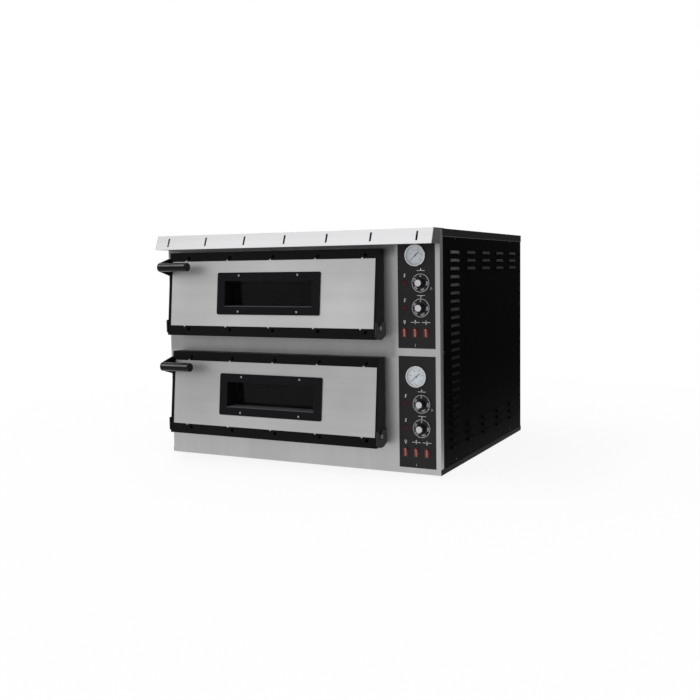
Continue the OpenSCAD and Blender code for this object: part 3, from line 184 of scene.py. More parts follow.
class Recipe:
    """A material in the making: its tree, its coordinates and its main shader."""

    def __init__(self, name, world=False):
        self.material = (bpy.data.worlds if world else bpy.data.materials).new(name)
        self.material.use_nodes = True
        self.tree = self.material.node_tree
        self.shader = self.tree.nodes["Background" if world else "Principled BSDF"]
        self.output = self.tree.nodes["World Output" if world else "Material Output"]

    def add(self, kind, settings=None, inputs=None):
        """Adds a node, sets its settings first and then feeds its inputs."""
        node = self.tree.nodes.new("ShaderNode" + kind)
        for key, value in (settings or {}).items():
            if key == "stops":
                self.set_stops(node.color_ramp, value)
            else:
                setattr(node, key, value)
        for key, value in (inputs or {}).items():
            self.feed(node.inputs[key], value)
        return node

    def node(self, kind, settings=None, inputs=None, output=0):
        """Adds a node and returns one of its outputs as a value."""
        return Value(self, self.add(kind, settings, inputs).outputs[output])

    def number(self, operation, *values):
        return self.node("Math", {"operation": operation}, {i: v for i, v in enumerate(values)})

    def feed(self, socket, value):
        if isinstance(value, Value):
            self.tree.links.new(value.socket, socket)
        elif isinstance(value, bpy.types.NodeSocket):
            self.tree.links.new(value, socket)
        else:
            socket.default_value = value

    @staticmethod
    def set_stops(ramp, stops):
        while len(ramp.elements) < len(stops):
            ramp.elements.new(0.5)
        for element, (place, colour) in zip(ramp.elements, stops):
            element.position = place
            element.color = (*colour[:3], 1)

    def place(self, stretch=(1, 1, 1)):
        """Object coordinates, stretched."""
        coordinates = self.add("TexCoord").outputs["Object"]
        mapping = self.add("Mapping", {}, {"Vector": coordinates, "Scale": stretch})
        return mapping.outputs["Vector"]

    def noise(self, scale, detail=3.0, stretch=(1, 1, 1), rough=0.5):
        return self.node("TexNoise", {}, {
            "Vector": self.place(stretch), "Scale": scale, "Detail": detail, "Roughness": rough})

    def cells(self, scale):
        return self.node("TexVoronoi", {}, {"Vector": self.place(), "Scale": scale})

    def axes(self, vector):
        """The three parts of a vector."""
        parts = self.add("SeparateXYZ", {}, {"Vector": vector}).outputs
        return [Value(self, part) for part in parts]

    def seen_by(self, *rays):
        """1 for these kinds of ray."""
        path = self.add("LightPath").outputs
        most = Value(self, path[f"Is {rays[0]} Ray"])
        for ray in rays[1:]:
            most = most.math("MAXIMUM", path[f"Is {ray} Ray"])
        return most

    def mix(self, factor, first, second):
        """Mixes two colours."""
        node = self.add("Mix", {"data_type": "RGBA"})
        self.feed(node.inputs["Factor"], factor)
        colours = [socket for socket in node.inputs if socket.type == "RGBA"]
        for socket, colour in zip(colours, (first, second)):
            self.feed(socket, (*colour, 1) if isinstance(colour, (tuple, list)) else colour)
        return Value(self, next(socket for socket in node.outputs if socket.type == "RGBA"))

    def surface(self, **inputs):
        """Feeds the main shader. Underscores in the names stand for spaces."""
        for key, value in inputs.items():
            if key == "Base_Color" and isinstance(value, (tuple, list)):
                value = (*value, 1)
            self.feed(self.shader.inputs[key.replace("_", " ")], value)

    def relief(self, height, distance, strength=1.0, edge=0.0):
        """Feeds a bump, and rounded edges where edge is their radius, to the main shader."""
        inputs = {"Height": height, "Distance": distance, "Strength": strength}
        if edge:
            inputs["Normal"] = self.node("Bevel", {"samples": 6}, {"Radius": edge})
        self.feed(self.shader.inputs["Normal"], self.node("Bump", {}, inputs))


def tint(colour, factor):
    return tuple(channel * factor for channel in colour)


# ---------- finishes ----------

def painted_front_shade(recipe):
    """Painted shade on the front panel: between the doors and under the hood, over the doors' width, and full
    behind its returns; a random cloud varies it.
    """
    x, y, z = recipe.axes(recipe.place())
    cloud = recipe.noise(9.0, 3.0)
    lower_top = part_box("door_frame_lower")[1].z
    upper_low, upper_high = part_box("door_frame_upper")
    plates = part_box("control_plates")[0].x
    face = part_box("front_panel")[0].y
    between = z.rise(lower_top - 10 * MM, lower_top + 6.7 * MM) * \
        z.fall(upper_low.z - 6.7 * MM, upper_low.z + 10 * MM)
    under_hood = z.rise(upper_high.z - 30 * MM, upper_high.z - 5 * MM)
    doors = x.fall(plates - 16.7 * MM, plates)
    return_edge = y.rise(face + 23.5 * MM, face + 24.5 * MM)
    # Painted shade between the doors and under the hood, only over the doors' width
    painted_shade = (between * 0.45).math("MAXIMUM", under_hood * 0.8) * doors
    return painted_shade.math("MAXIMUM", return_edge) * (cloud * 0.4 + 0.8)


def painted_door_shade(recipe):
    """Painted shade over the doors, darker towards each door's top, in faint random clouds."""
    x, y, z = recipe.axes(recipe.place())
    low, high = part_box("door_frame_lower")
    upper_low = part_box("door_frame_upper")[0]
    up = (z - low.z - z.above(upper_low.z) * (upper_low.z - low.z)) / (high.z - low.z)
    return (up * 0.16 + recipe.noise(4.0, 2.0) * 0.5 - 0.22).clamped()


def painted_hood_end_shade(recipe):
    """Painted shade where the hood's end cheeks are."""
    x, y, z = recipe.axes(recipe.place())
    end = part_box("hood")[1].x - 1.3 * MM
    return x.size().rise(end, end + MM / 3) * 0.8


def brushed_steel(name, colour, grain=(3, 300, 300), rough=0.24, spread=0.10, painted_shade=None):
    """Stainless sheet with fine grain along its long side, and streaks and clouds over it."""
    recipe = Recipe(name)
    hair = recipe.noise(1.0, 2.0, grain)
    streak = recipe.noise(1.0, 3.0, [run * 0.1 for run in grain])
    cloud = recipe.noise(2.6, 2.0)
    shade = ((cloud * 0.35 + streak * 0.40 + hair * 0.25 - 0.5) * 1.6 + 0.5).clamped()
    colour_mix = recipe.mix(shade, tint(colour, 0.87), tint(colour, 1.13))
    # Where a painted shade mask is given, it darkens the colour towards a third of itself.
    if painted_shade:
        colour_mix = recipe.mix(painted_shade(recipe), colour_mix, tint(colour, 0.35))
    recipe.surface(Metallic=1.0, Base_Color=colour_mix, Roughness=hair * spread + (rough - spread / 2))
    recipe.relief(hair, 0.00002, 0.25, 0.5 * MM)
    return recipe.material


def folded_edges(recipe):
    """Where the lid's painted highlight goes: the lowest line of its folded edges."""
    x, y, z = recipe.axes(recipe.place())
    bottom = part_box("top_cover")[0].z
    return z.fall(bottom + 0.63 * MM, bottom + 1.3 * MM)


def powder_coat(name, colour, rough=0.55, specular=0.12, grain=900, depth=0.00006, painted_highlight=None):
    """Baked powder coat: a fine orange-peel surface with slight dulling, and a pale painted highlight where a
    mask is given.
    """
    recipe = Recipe(name)
    peel = recipe.noise(grain, 2.0)
    dust = recipe.noise(7.0, 4.0)
    shade = recipe.mix(dust, tint(colour, 0.85), tint(colour, 1.25))
    # Painted highlight, pale where the mask says
    if painted_highlight:
        shade = recipe.mix(painted_highlight(recipe) * (dust * 0.8 + 0.4), shade, (0.16, 0.16, 0.165))
    recipe.surface(Base_Color=shade, Roughness=dust * 0.16 + (rough - 0.08), Specular_IOR_Level=specular)
    recipe.relief(peel, depth, 0.5, 0.5 * MM)
    return recipe.material


def louvred_coat(name, colour, painted_highlight):
    """Powder coat of the sides, with a painted highlight where the louvres stand out, most of all high up and
    near the front.
    """
    recipe = Recipe(name)
    peel = recipe.noise(900, 2.0)
    dust = recipe.noise(40, 4.0)
    x, y, z = recipe.axes(recipe.place())
    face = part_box("right_side_panel")[1].x - LOUVRE_OUT
    out = x.size().rise(face, face + 1.25 * MM)
    high_up = z.rise(0.12, 0.745) ** 2.5
    near_front = y.fall(-0.263, -0.18) * 0.6 + 0.4
    # Painted highlight on the louvres: brighter high up and near the front, broken up by the dust noise
    highlight_paint_mask = out * high_up * near_front * (dust * 0.8 + 0.6)
    recipe.surface(
        Base_Color=recipe.mix(highlight_paint_mask, colour, painted_highlight), Roughness=dust * 0.14 + 0.45,
        Specular_IOR_Level=0.012)
    recipe.relief(peel, 0.00006, 0.4, 0.5 * MM)
    return recipe.material


def bezel_enamel(name, colour, deck):
    """Semi-gloss enamel, with a pale painted highlight along the lower edge of the window's sleeve."""
    recipe = Recipe(name)
    peel = recipe.noise(900, 2.0)
    dust = recipe.noise(30, 4.0)
    x, y, z = recipe.axes(recipe.place())
    low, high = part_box(f"door_glass_{deck}")
    middle = (low.x + high.x) / 2
    reach = high.x - middle - GLASS_LAP
    sill = (z - low.z - GLASS_LAP).size().fall(0, 1.6 * MM)
    # Painted highlight along the sleeve's lower edge
    painted_highlight = sill * (x - middle).size().fall(reach, reach + 2 * MM) * (dust * 0.6 + 0.6)
    recipe.surface(
        Base_Color=recipe.mix(painted_highlight, colour, (0.13, 0.13, 0.14)), Roughness=dust * 0.12 + 0.34,
        Specular_IOR_Level=0.08)
    recipe.relief(peel, 0.00004, 0.4, 0.5 * MM)
    return recipe.material


def galvanised(name, colour=(0.42, 0.43, 0.44)):
    """Zinc-coated sheet with its spangle."""
    recipe = Recipe(name)
    spangle = recipe.cells(90)
    shade = recipe.mix(spangle * 1.4, tint(colour, 0.8), tint(colour, 1.15))
    recipe.surface(Metallic=1.0, Base_Color=shade, Roughness=spangle * 0.2 + 0.3)
    recipe.relief(spangle, 0.00002, 0.3, 0.4 * MM)
    return recipe.material


def chamber_steel(name):
    """Aluminised sheet that heat has browned in clouds."""
    recipe = Recipe(name)
    cloud = recipe.noise(6.0, 5.0)
    hair = recipe.noise(1.0, 2.0, (4, 260, 260))
    shade = recipe.mix(cloud.rise(0.45, 0.783), (0.45, 0.44, 0.42), (0.36, 0.29, 0.21))
    recipe.surface(Metallic=1.0, Base_Color=shade, Roughness=cloud * 0.2 + hair * 0.1 + 0.25)
    recipe.relief(hair, 0.00002, 0.3, 0.5 * MM)
    return recipe.material


def fired_stone(name):
    """Pressed and fired stone: sandy grain, dark specks and pores."""
    recipe = Recipe(name)
    sand = recipe.noise(420, 3.0)
    cloud = recipe.noise(9, 4.0)
    speck = recipe.cells(260).above(0.10)
    ground = recipe.mix(cloud, (0.56, 0.46, 0.33), (0.68, 0.60, 0.46))
    recipe.surface(Base_Color=recipe.mix(speck, (0.22, 0.16, 0.11), ground), Roughness=sand * 0.1 + 0.82)
    recipe.relief(sand + speck * 0.5, 0.0004, 0.6, 1.2 * MM)
    return recipe.material


def element_tube(name):
    """Oxidised heater tube, blue-grey to brown, with scale."""
    recipe = Recipe(name)
    scale = recipe.noise(160, 4.0)
    cloud = recipe.noise(14, 3.0)
    recipe.surface(
        Metallic=0.7, Base_Color=recipe.mix(cloud, (0.06, 0.055, 0.06), (0.12, 0.085, 0.06)),
        Roughness=scale * 0.3 + 0.45)
    recipe.relief(scale, 0.0002, 0.4)
    return recipe.material


def mineral_wool(name):
    """Yellow wool slab: matted fibres in layers."""
    recipe = Recipe(name)
    fibre = recipe.noise(1.0, 5.0, (60, 60, 420), 0.7)
    tuft = recipe.noise(55, 4.0)
    recipe.surface(
        Base_Color=recipe.mix(fibre, (0.42, 0.34, 0.13), (0.70, 0.62, 0.34)), Roughness=1.0,
        Specular_IOR_Level=0.1)
    recipe.relief(fibre * 0.6 + tuft, 0.003, 0.8)
    return recipe.material


def woven_seal(name):
    """Braided glass-fibre tape: two crossing runs of yarn."""
    recipe = Recipe(name)
    runs = [recipe.node("TexWave", {"wave_type": "BANDS", "bands_direction": "DIAGONAL"}, {
        "Vector": recipe.place(stretch), "Scale": 90.0, "Distortion": 0.4})
        for stretch in ((1, 1, 1), (-1, 1, 1))]
    braid = runs[0].math("MAXIMUM", runs[1])
    recipe.surface(
        Base_Color=recipe.mix(braid, (0.02, 0.019, 0.018), (0.085, 0.08, 0.075)), Roughness=0.95,
        Specular_IOR_Level=0.15)
    recipe.relief(braid, 0.0008, 0.9)
    return recipe.material


def moulded(name, colour, rough=0.4, specular=0.4, grain=0.00001):
    """Moulded plastic or rubber with a fine texture, whose depth is the grain."""
    recipe = Recipe(name)
    skin = recipe.noise(1400, 2.0)
    wear = recipe.noise(30, 3.0)
    recipe.surface(
        Base_Color=recipe.mix(wear, tint(colour, 0.88), tint(colour, 1.12)),
        Roughness=skin * 0.1 + wear * 0.08 + (rough - 0.09), Specular_IOR_Level=specular)
    recipe.relief(skin, grain, 0.4, 0.35 * MM)
    return recipe.material


def grip_with_highlight_paint(name, deck):
    """Black thermoset with a pale painted highlight in a line over its upper front, short of its end."""
    recipe = Recipe(name)
    x, y, z = recipe.axes(recipe.place())
    low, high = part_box(f"handle_grip_{deck}")
    centre = (low + high) / 2
    up = (z - centre.z) / (high.z - centre.z)
    line = (up - 0.42).size().fall(0, 0.286)
    front = 1.0 - y.above(centre.y)
    to_end = x.fall(high.x - 9 * MM, high.x - 5 * MM)
    # Painted highlight in a line over the grip's upper front
    highlight_paint_mask = line * front * to_end * (recipe.noise(60, 2.0) * 0.8 + 0.5)
    recipe.surface(
        Base_Color=recipe.mix(highlight_paint_mask, (0.0015, 0.0015, 0.0017), (0.22, 0.22, 0.23)),
        Roughness=0.12, Specular_IOR_Level=0.14)
    recipe.relief(recipe.noise(700, 2.0), 0.00002, 0.2, 0.5 * MM)
    return recipe.material


def rocker_plastic(name, colour, first, step):
    """Clear red plastic, with a pale painted highlight down the middle of each rocker of a row along x."""
    recipe = Recipe(name)
    x, y, z = recipe.axes(recipe.place())
    off = ((x - first) / step + 0.5).math("FRACT") - 0.5
    middle = off.size().fall(0, 3.8 * MM / step)
    mottle = recipe.noise(160, 3.0)
    # Painted highlight: pale down the middle of each rocker
    pale = (middle * (mottle * 1.6)).clamped()
    recipe.surface(
        Base_Color=recipe.mix(pale, colour, (0.62, 0.20, 0.17)), Roughness=mottle * 0.1 + 0.15,
        Specular_IOR_Level=0.4)
    recipe.relief(mottle, 0.00003, 0.2)
    return recipe.material


def plated(name, colour, rough=0.16):
    """Bright plating or polish with faint turning marks and fingering."""
    recipe = Recipe(name)
    smear = recipe.noise(60, 3.0)
    turning = recipe.noise(1.0, 2.0, (900, 60, 900))
    recipe.surface(
        Metallic=1.0, Base_Color=recipe.mix(smear, tint(colour, 0.94), tint(colour, 1.05)),
        Roughness=smear * 0.12 + (rough - 0.06))
    recipe.relief(turning, 0.00001, 0.3, 0.3 * MM)
    return recipe.material


def pane(name, colour, alpha, rough=0.03, specular=0.5):
    """Glass whose body is tinted and let through by alpha, with faint cleaning smears."""
    recipe = Recipe(name)
    smear = recipe.noise(12, 4.0)
    recipe.surface(
        Base_Color=recipe.mix(smear, tint(colour, 0.9), tint(colour, 1.1)),
        Roughness=smear * 0.05 + rough, Alpha=alpha, Specular_IOR_Level=specular)
    recipe.relief(smear, 0.00005, 0.05)
    return recipe.material


def screen_print(name, colour):
    """Printed enamel ink with a slight fleck."""
    recipe = Recipe(name)
    fleck = recipe.noise(2500, 2.0)
    recipe.surface(
        Base_Color=recipe.mix(fleck, tint(colour, 0.85), tint(colour, 1.1)), Roughness=fleck * 0.1 + 0.5,
        Specular_IOR_Level=0.2)
    return recipe.material


def dial_paint(name):
    """Pale blue-white dial paint with a faint stain towards its rim."""
    recipe = Recipe(name)
    stain = recipe.noise(45, 3.0)
    recipe.surface(
        Base_Color=recipe.mix(stain, (0.66, 0.70, 0.73), (0.76, 0.79, 0.82)), Roughness=stain * 0.1 + 0.4)
    return recipe.material


def cover(piece, material):
    """Gives a piece one material."""
    piece.data.materials.clear()
    piece.data.materials.append(material)


def dress(material, *nodes):
    """Gives CAD nodes their finish."""
    for node in nodes:
        cover(frame["nodes"][node], material)


def on_decks(*names):
    """The nodes of both decks whose names start so."""
    return [f"{name}_{deck}" for name in names for deck in DECKS]


# ---------- modelling helpers ----------

def alone(piece):
    """Selects one object and makes it the active one."""
    bpy.ops.object.select_all(action="DESELECT")
    piece.select_set(True)
    bpy.context.view_layer.objects.active = piece
    return piece


def start(primitive, **settings):
    """Adds a primitive with nothing else selected."""
    bpy.ops.object.select_all(action="DESELECT")
    getattr(bpy.ops.mesh, f"primitive_{primitive}_add")(**settings)
    return bpy.context.active_object


def joined(pieces, name):
    """Joins pieces into one and puts their place into the mesh."""
    bpy.ops.object.select_all(action="DESELECT")
    for piece in pieces:
        piece.select_set(True)
    bpy.context.view_layer.objects.active = pieces[0]
    if len(pieces) > 1:
        bpy.ops.object.join()
    piece = bpy.context.active_object
    piece.name = name
    piece.data.name = name
    bpy.ops.object.transform_apply(location=True, rotation=True, scale=True)
    return piece


def finished(piece, material, body):
    """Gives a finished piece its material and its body."""
    cover(piece, material)
    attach(piece, body)
    return piece


def modified(piece, kind, **settings):
    """Adds a modifier and applies it."""
    alone(piece)
    modifier = piece.modifiers.new(kind.title(), kind)
    for key, value in settings.items():
        setattr(modifier, key, value)
    bpy.ops.object.modifier_apply(modifier=modifier.name)


def joint_named(name):
    return next(joint for joint in frame["joints"] if joint["name"] == name)


def joint_place(name):
    """A point on a joint's axis."""
    return Vector(joint_named(name)["pos_m"])


def face_place(centre, across, up, y):
    """A point on a front face: across and up from the centre, at depth y."""
    return Vector((centre.x + across, y, centre.z + up))


def round_place(centre, radius, angle, y):
    """A point on a circle about a front face's centre, clockwise from the top."""
    return face_place(centre, radius * math.sin(angle), radius * math.cos(angle), y)


def softened(node, width):
    """A copy of a CAD node with its edges rounded, in the node's place."""
    source = frame["nodes"][node]
    piece = source.copy()
    piece.data = source.data.copy()
    for key in [key for key in piece.keys() if key.startswith("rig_")]:
        del piece[key]
    piece.parent = None
    bpy.context.scene.collection.objects.link(piece)
    piece.name = f"{node}_moulding"
    alone(piece)
    bpy.ops.object.mode_set(mode="EDIT")
    bpy.ops.mesh.select_all(action="SELECT")
    bpy.ops.mesh.remove_doubles(threshold=0.00001)
    bpy.ops.mesh.dissolve_limited(angle_limit=math.radians(1))
    bpy.ops.object.mode_set(mode="OBJECT")
    modified(piece, "BEVEL", width=width, segments=3, limit_method="ANGLE",
             angle_limit=math.radians(30))
    alone(piece)
    bpy.ops.object.shade_smooth_by_angle(angle=math.radians(40))
    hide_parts(node)
    return piece


# ---------- printed marks ----------

def stroke(first, last, width, depth):
    """A flat bar between two points on a front face."""
    middle = (first + last) / 2
    run = last - first
    bar = start("cube", size=1, location=middle)
    bar.scale = (width, depth, run.length)
    bar.rotation_euler = (0, math.atan2(run.x, run.z), 0)
    return bar


def band(centre, radius, width, depth, vertices=64):
    """A flat ring on a front face."""
    ring = start("cylinder", vertices=vertices, radius=radius, depth=depth, end_fill_type="NGON",
                 location=centre, rotation=(math.radians(90), 0, 0))
    hole = start("cylinder", vertices=vertices, radius=radius - width, depth=depth * 4,
                 location=centre, rotation=(math.radians(90), 0, 0))
    modified(ring, "BOOLEAN", operation="DIFFERENCE", object=hole, solver="EXACT")
    bpy.data.objects.remove(hole)
    return ring


def wedge(centre, width, height, depth, point_up=True):
    """A flat triangle on a front face."""
    mark = start("cone", vertices=3, radius1=0.5, radius2=0.5, depth=1, location=centre)
    mark.scale = (width / 0.866, height / 0.75, depth)
    mark.rotation_euler = (math.radians(90 if point_up else -90), 0, 0)
    return mark


def numeral(text, centre, height, depth, turn=0.0):
    """A printed number on a front face, turned clockwise by an angle."""
    bpy.ops.object.select_all(action="DESELECT")
    bpy.ops.object.text_add(location=centre)
    figure = bpy.context.active_object
    figure.data.body = text
    figure.data.size = height / 0.7
    figure.data.align_x = "CENTER"
    figure.data.align_y = "CENTER"
    figure.data.extrude = depth / 2
    figure.data.resolution_u = 3
    figure.matrix_world = (Matrix.Translation(centre) @ Matrix.Rotation(turn, 4, "Y")
                           @ Matrix.Rotation(math.radians(90), 4, "X"))
    alone(figure)
    bpy.ops.object.convert(target="MESH")
    return bpy.context.active_object


def heat_mark(centre, y, depth, upper, half=13 * MM, tail=0.0):
    """A heater bar of a half length, crossed by an arrow that points up or down."""
    way = 1 if upper else -1
    low, high = -way * tail, way * 4 * MM
    return [
        stroke(face_place(centre, -half, 0, y), face_place(centre, half, 0, y), 1.25 * MM, depth),
        stroke(face_place(centre, 0, low, y), face_place(centre, 0, high, y), 1.1 * MM, depth),
        wedge(face_place(centre, 0, way * 4.8 * MM, y), 5.0 * MM, 4.4 * MM, depth, upper)]


def bulb_mark(centre, y, depth):
    """A light bulb: a ring on a narrow base."""
    return [
        band(face_place(centre, 0, 2 * MM, y), 3.8 * MM, 1.3 * MM, depth, 32),
        stroke(face_place(centre, 0, -2.2 * MM, y), face_place(centre, 0, -5.4 * MM, y), 3.0 * MM, depth)]


def spark_mark(centre, y, depth):
    """A short zigzag that shows power."""
    points = [(2.0, 5.0), (-1.6, 0.4), (1.6, -0.4), (-2.0, -5.0)]
    places = [face_place(centre, x * MM, z * MM, y) for x, z in points]
    return [stroke(a, b, 3.0 * MM, depth) for a, b in zip(places, places[1:])]


# ---------- operators ----------

class OVEN_OT_casing(Operator):
    """Finishes the casing's sheets, rails, screws and feet"""
    bl_idname = "oven.casing"
    bl_label = "Casing"

    def execute(self, context):
        finish = context.scene.oven_finish
        # Painted shade on the front panel
        dress(brushed_steel("front_panel_steel", finish.steel, (300, 300, 3), 0.44, painted_shade=painted_front_shade),
              "front_panel")
        # Painted shade on the hood's end cheeks
        dress(brushed_steel("hood_steel", finish.hood_steel, rough=0.42, painted_shade=painted_hood_end_shade), "hood")
        # The sides' last colour is their painted louvre highlight
        dress(louvred_coat("side_coat", tuple(finish.casing_black), (0.10, 0.10, 0.105)),
              "left_side_panel", "right_side_panel")
        dress(powder_coat("casing_coat", tint(finish.casing_black, 1.5), 0.5, 0.05),
              "back_panel", "base_pan")
        # Painted reflection: the lid is the casing's black lifted eight times; its folded edge gets a painted
        # highlight
        dress(powder_coat("lid_coat", tint(finish.casing_black, 8), 0.5, 0.10, painted_highlight=folded_edges),
              "top_cover")
        dress(galvanised("zinc_sheet"), "frame_rails", "bulkhead", "lamp_holders")
        dress(plated("black_zinc", (0.03, 0.03, 0.032), 0.4), "casing_screws")
        dress(moulded("foot_rubber", (0.02, 0.02, 0.02), 0.8, 0.2, 0.0001), "feet")
        dress(moulded("gland_nylon", (0.015, 0.015, 0.016), 0.45), "cable_gland")
        return {"FINISHED"}


class OVEN_OT_chambers(Operator):
    """Finishes the chambers and what they hold"""
    bl_idname = "oven.chambers"
    bl_label = "Chambers"

    def execute(self, context):
        dress(chamber_steel("chamber_sheet"), "chamber_lower", "chamber_upper")
        dress(fired_stone("baking_stone"), "stones")
        dress(element_tube("heater_tube"), "heating_elements")
        dress(mineral_wool("mineral_wool"), "insulation")
        dress(pane("lamp_glass", (0.85, 0.83, 0.75), 0.45, 0.1), "oven_lamps")
        dress(plated("bulb_copper", (0.72, 0.40, 0.25), 0.3), "sensor_bulbs")
        dress(woven_seal("braided_seal"), "mouth_seals")
        dress(moulded("thermoset_cream", (0.60, 0.55, 0.44), 0.5), "thermostats", "terminal_block")
        return {"FINISHED"}


class OVEN_OT_doors(Operator):
    """Finishes both doors, their hinges, windows and handles"""
    bl_idname = "oven.doors"
    bl_label = "Doors"

    def execute(self, context):
        finish = context.scene.oven_finish
        dress(powder_coat("door_enamel", finish.door_black, 0.42, 0.07),
              *on_decks("door_frame", "handle_arm"))
        dress(chamber_steel("liner_sheet"), *on_decks("door_liner"))
        dress(pane("window_pane", (0.006, 0.006, 0.006), 0.8, specular=0.12), *on_decks("door_glass"))
        # Painted light: both door skins are the same steel, each deck's skin lifted by its own factor, the
        # upper more than the lower.
        for deck, deck_light_tone in zip(DECKS, (1.08, 1.25)):
            # Painted shade over each door skin
            skin = brushed_steel(f"door_skin_steel_{deck}", tint(finish.steel, deck_light_tone), rough=0.46, painted_shade=painted_door_shade)
            dress(skin, f"door_skin_{deck}")
            dress(grip_with_highlight_paint(f"grip_thermoset_{deck}", deck), f"handle_grip_{deck}")
            dress(bezel_enamel(f"bezel_enamel_{deck}", (0.0055, 0.0055, 0.0075), deck),
                  f"window_bezel_{deck}")
        dress(mineral_wool("door_wool"), *on_decks("door_insulation"))
        dress(plated("door_screw_plating", (0.36, 0.36, 0.37), 0.3), *on_decks("door_screws"))
        dress(powder_coat("bracket_coat", (0.028, 0.027, 0.026), 0.7, 0.3, 500, 0.0002), "hinge_brackets")
        return {"FINISHED"}


class OVEN_OT_plates(Operator):
    """Finishes the control plates, pilot lamps and switch frames, and prints their marks"""
    bl_idname = "oven.plates"
    bl_label = "Control plates"

    def execute(self, context):
        finish = context.scene.oven_finish
        sizes = context.scene.oven_sizes
        dress(powder_coat("plate_coat", (0.010, 0.0092, 0.0095), 0.45, 0.25, 1200, 0.00002), "control_plates")
        dress(moulded("switch_frame", (0.012, 0.010, 0.010), 0.35), "switch_housings")
        dress(moulded("pilot_lens", finish.lens_red, 0.3, 0.25), "pilot_lamps")
        ink = screen_print("plate_ink", tint(finish.print_white, 0.85))
        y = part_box("control_plates")[0].y
        for deck in DECKS:
            finished(self.marks(deck, y, sizes.print_height), ink, "casing")
        return {"FINISHED"}

    def marks(self, deck, y, depth):
        """All marks of one control plate as one piece."""
        marks = []
        for zone in ZONES:
            knob = joint_place(f"{deck}_{zone}_knob_turn")
            marks += heat_mark(face_place(knob, 0, KNOB_MARK_UP, y), y, depth, zone == "ceiling")
            marks += spark_mark(face_place(knob, -SPARK_LEFT, SPARK_UP, y), y, depth)
        marks.append(band(face_place(knob, RING_RIGHT, -RING_DOWN, y), 3 * MM, 0.5 * MM, depth, 24))
        for switch in SWITCHES:
            rocker = joint_place(f"{deck}_{switch}_rocker_tilt")
            centre = face_place(rocker, 0, ROCKER_MARK_UP, y)
            marks += bulb_mark(centre, y, depth) if switch == "lamp" else \
                heat_mark(centre, y, depth, switch == "ceiling", 14 * MM, 6 * MM)
        marks.append(stroke(face_place(rocker, -TICK_LEFT, -TICK_LOW, y),
                            face_place(rocker, -TICK_LEFT, -TICK_HIGH, y), 0.7 * MM, depth))
        return joined(marks, f"plate_marks_{deck}")


class OVEN_OT_gauges(Operator):
    """Finishes the thermometers and prints their scales"""
    bl_idname = "oven.gauges"
    bl_label = "Thermometers"

    def execute(self, context):
        sizes = context.scene.oven_sizes
        dress(plated("gauge_rim", (0.62, 0.64, 0.66), 0.2), "gauge_cases")
        dress(dial_paint("dial_paint"), "gauge_dials")
        dress(pane("gauge_pane", (0.8, 0.85, 0.9), 0.06), "gauge_glasses")
        dress(moulded("needle_paint", (0.09, 0.15, 0.24), 0.4), *on_decks("needle"))
        ink = screen_print("scale_ink", (0.16, 0.20, 0.24))
        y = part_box("gauge_dials")[0].y
        for deck in DECKS:
            finished(self.scale(deck, y, sizes), ink, "casing")
        return {"FINISHED"}

    def scale(self, deck, y, sizes):
        """Ticks and numbers round one dial, from cold at the lower left."""
        needle = f"{deck}_needle_turn"
        centre = joint_place(needle)
        low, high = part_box("gauge_dials")
        radius = (high.x - low.x) / 2
        sweep = math.radians(joint_named(needle)["range_deg"][1])
        ticks = sizes.gauge_steps * TICKS_PER_STEP
        marks = []
        for i in range(ticks + 1):
            angle = sweep * (i / ticks - 0.5)
            step, between = divmod(i, TICKS_PER_STEP)
            inner, width = (TICK_START, 0.4 * MM) if between else (LONG_TICK_START, 0.8 * MM)
            marks.append(stroke(round_place(centre, radius * inner, angle, y),
                                round_place(centre, radius * TICK_END, angle, y),
                                width, sizes.print_height))
            if not between:
                place = round_place(centre, radius * NUMBER_PLACE, angle, y)
                marks.append(numeral(str(step * GAUGE_STEP_DEGREES), place, 3.4 * MM, sizes.print_height))
        return joined(marks, f"gauge_scale_{deck}")


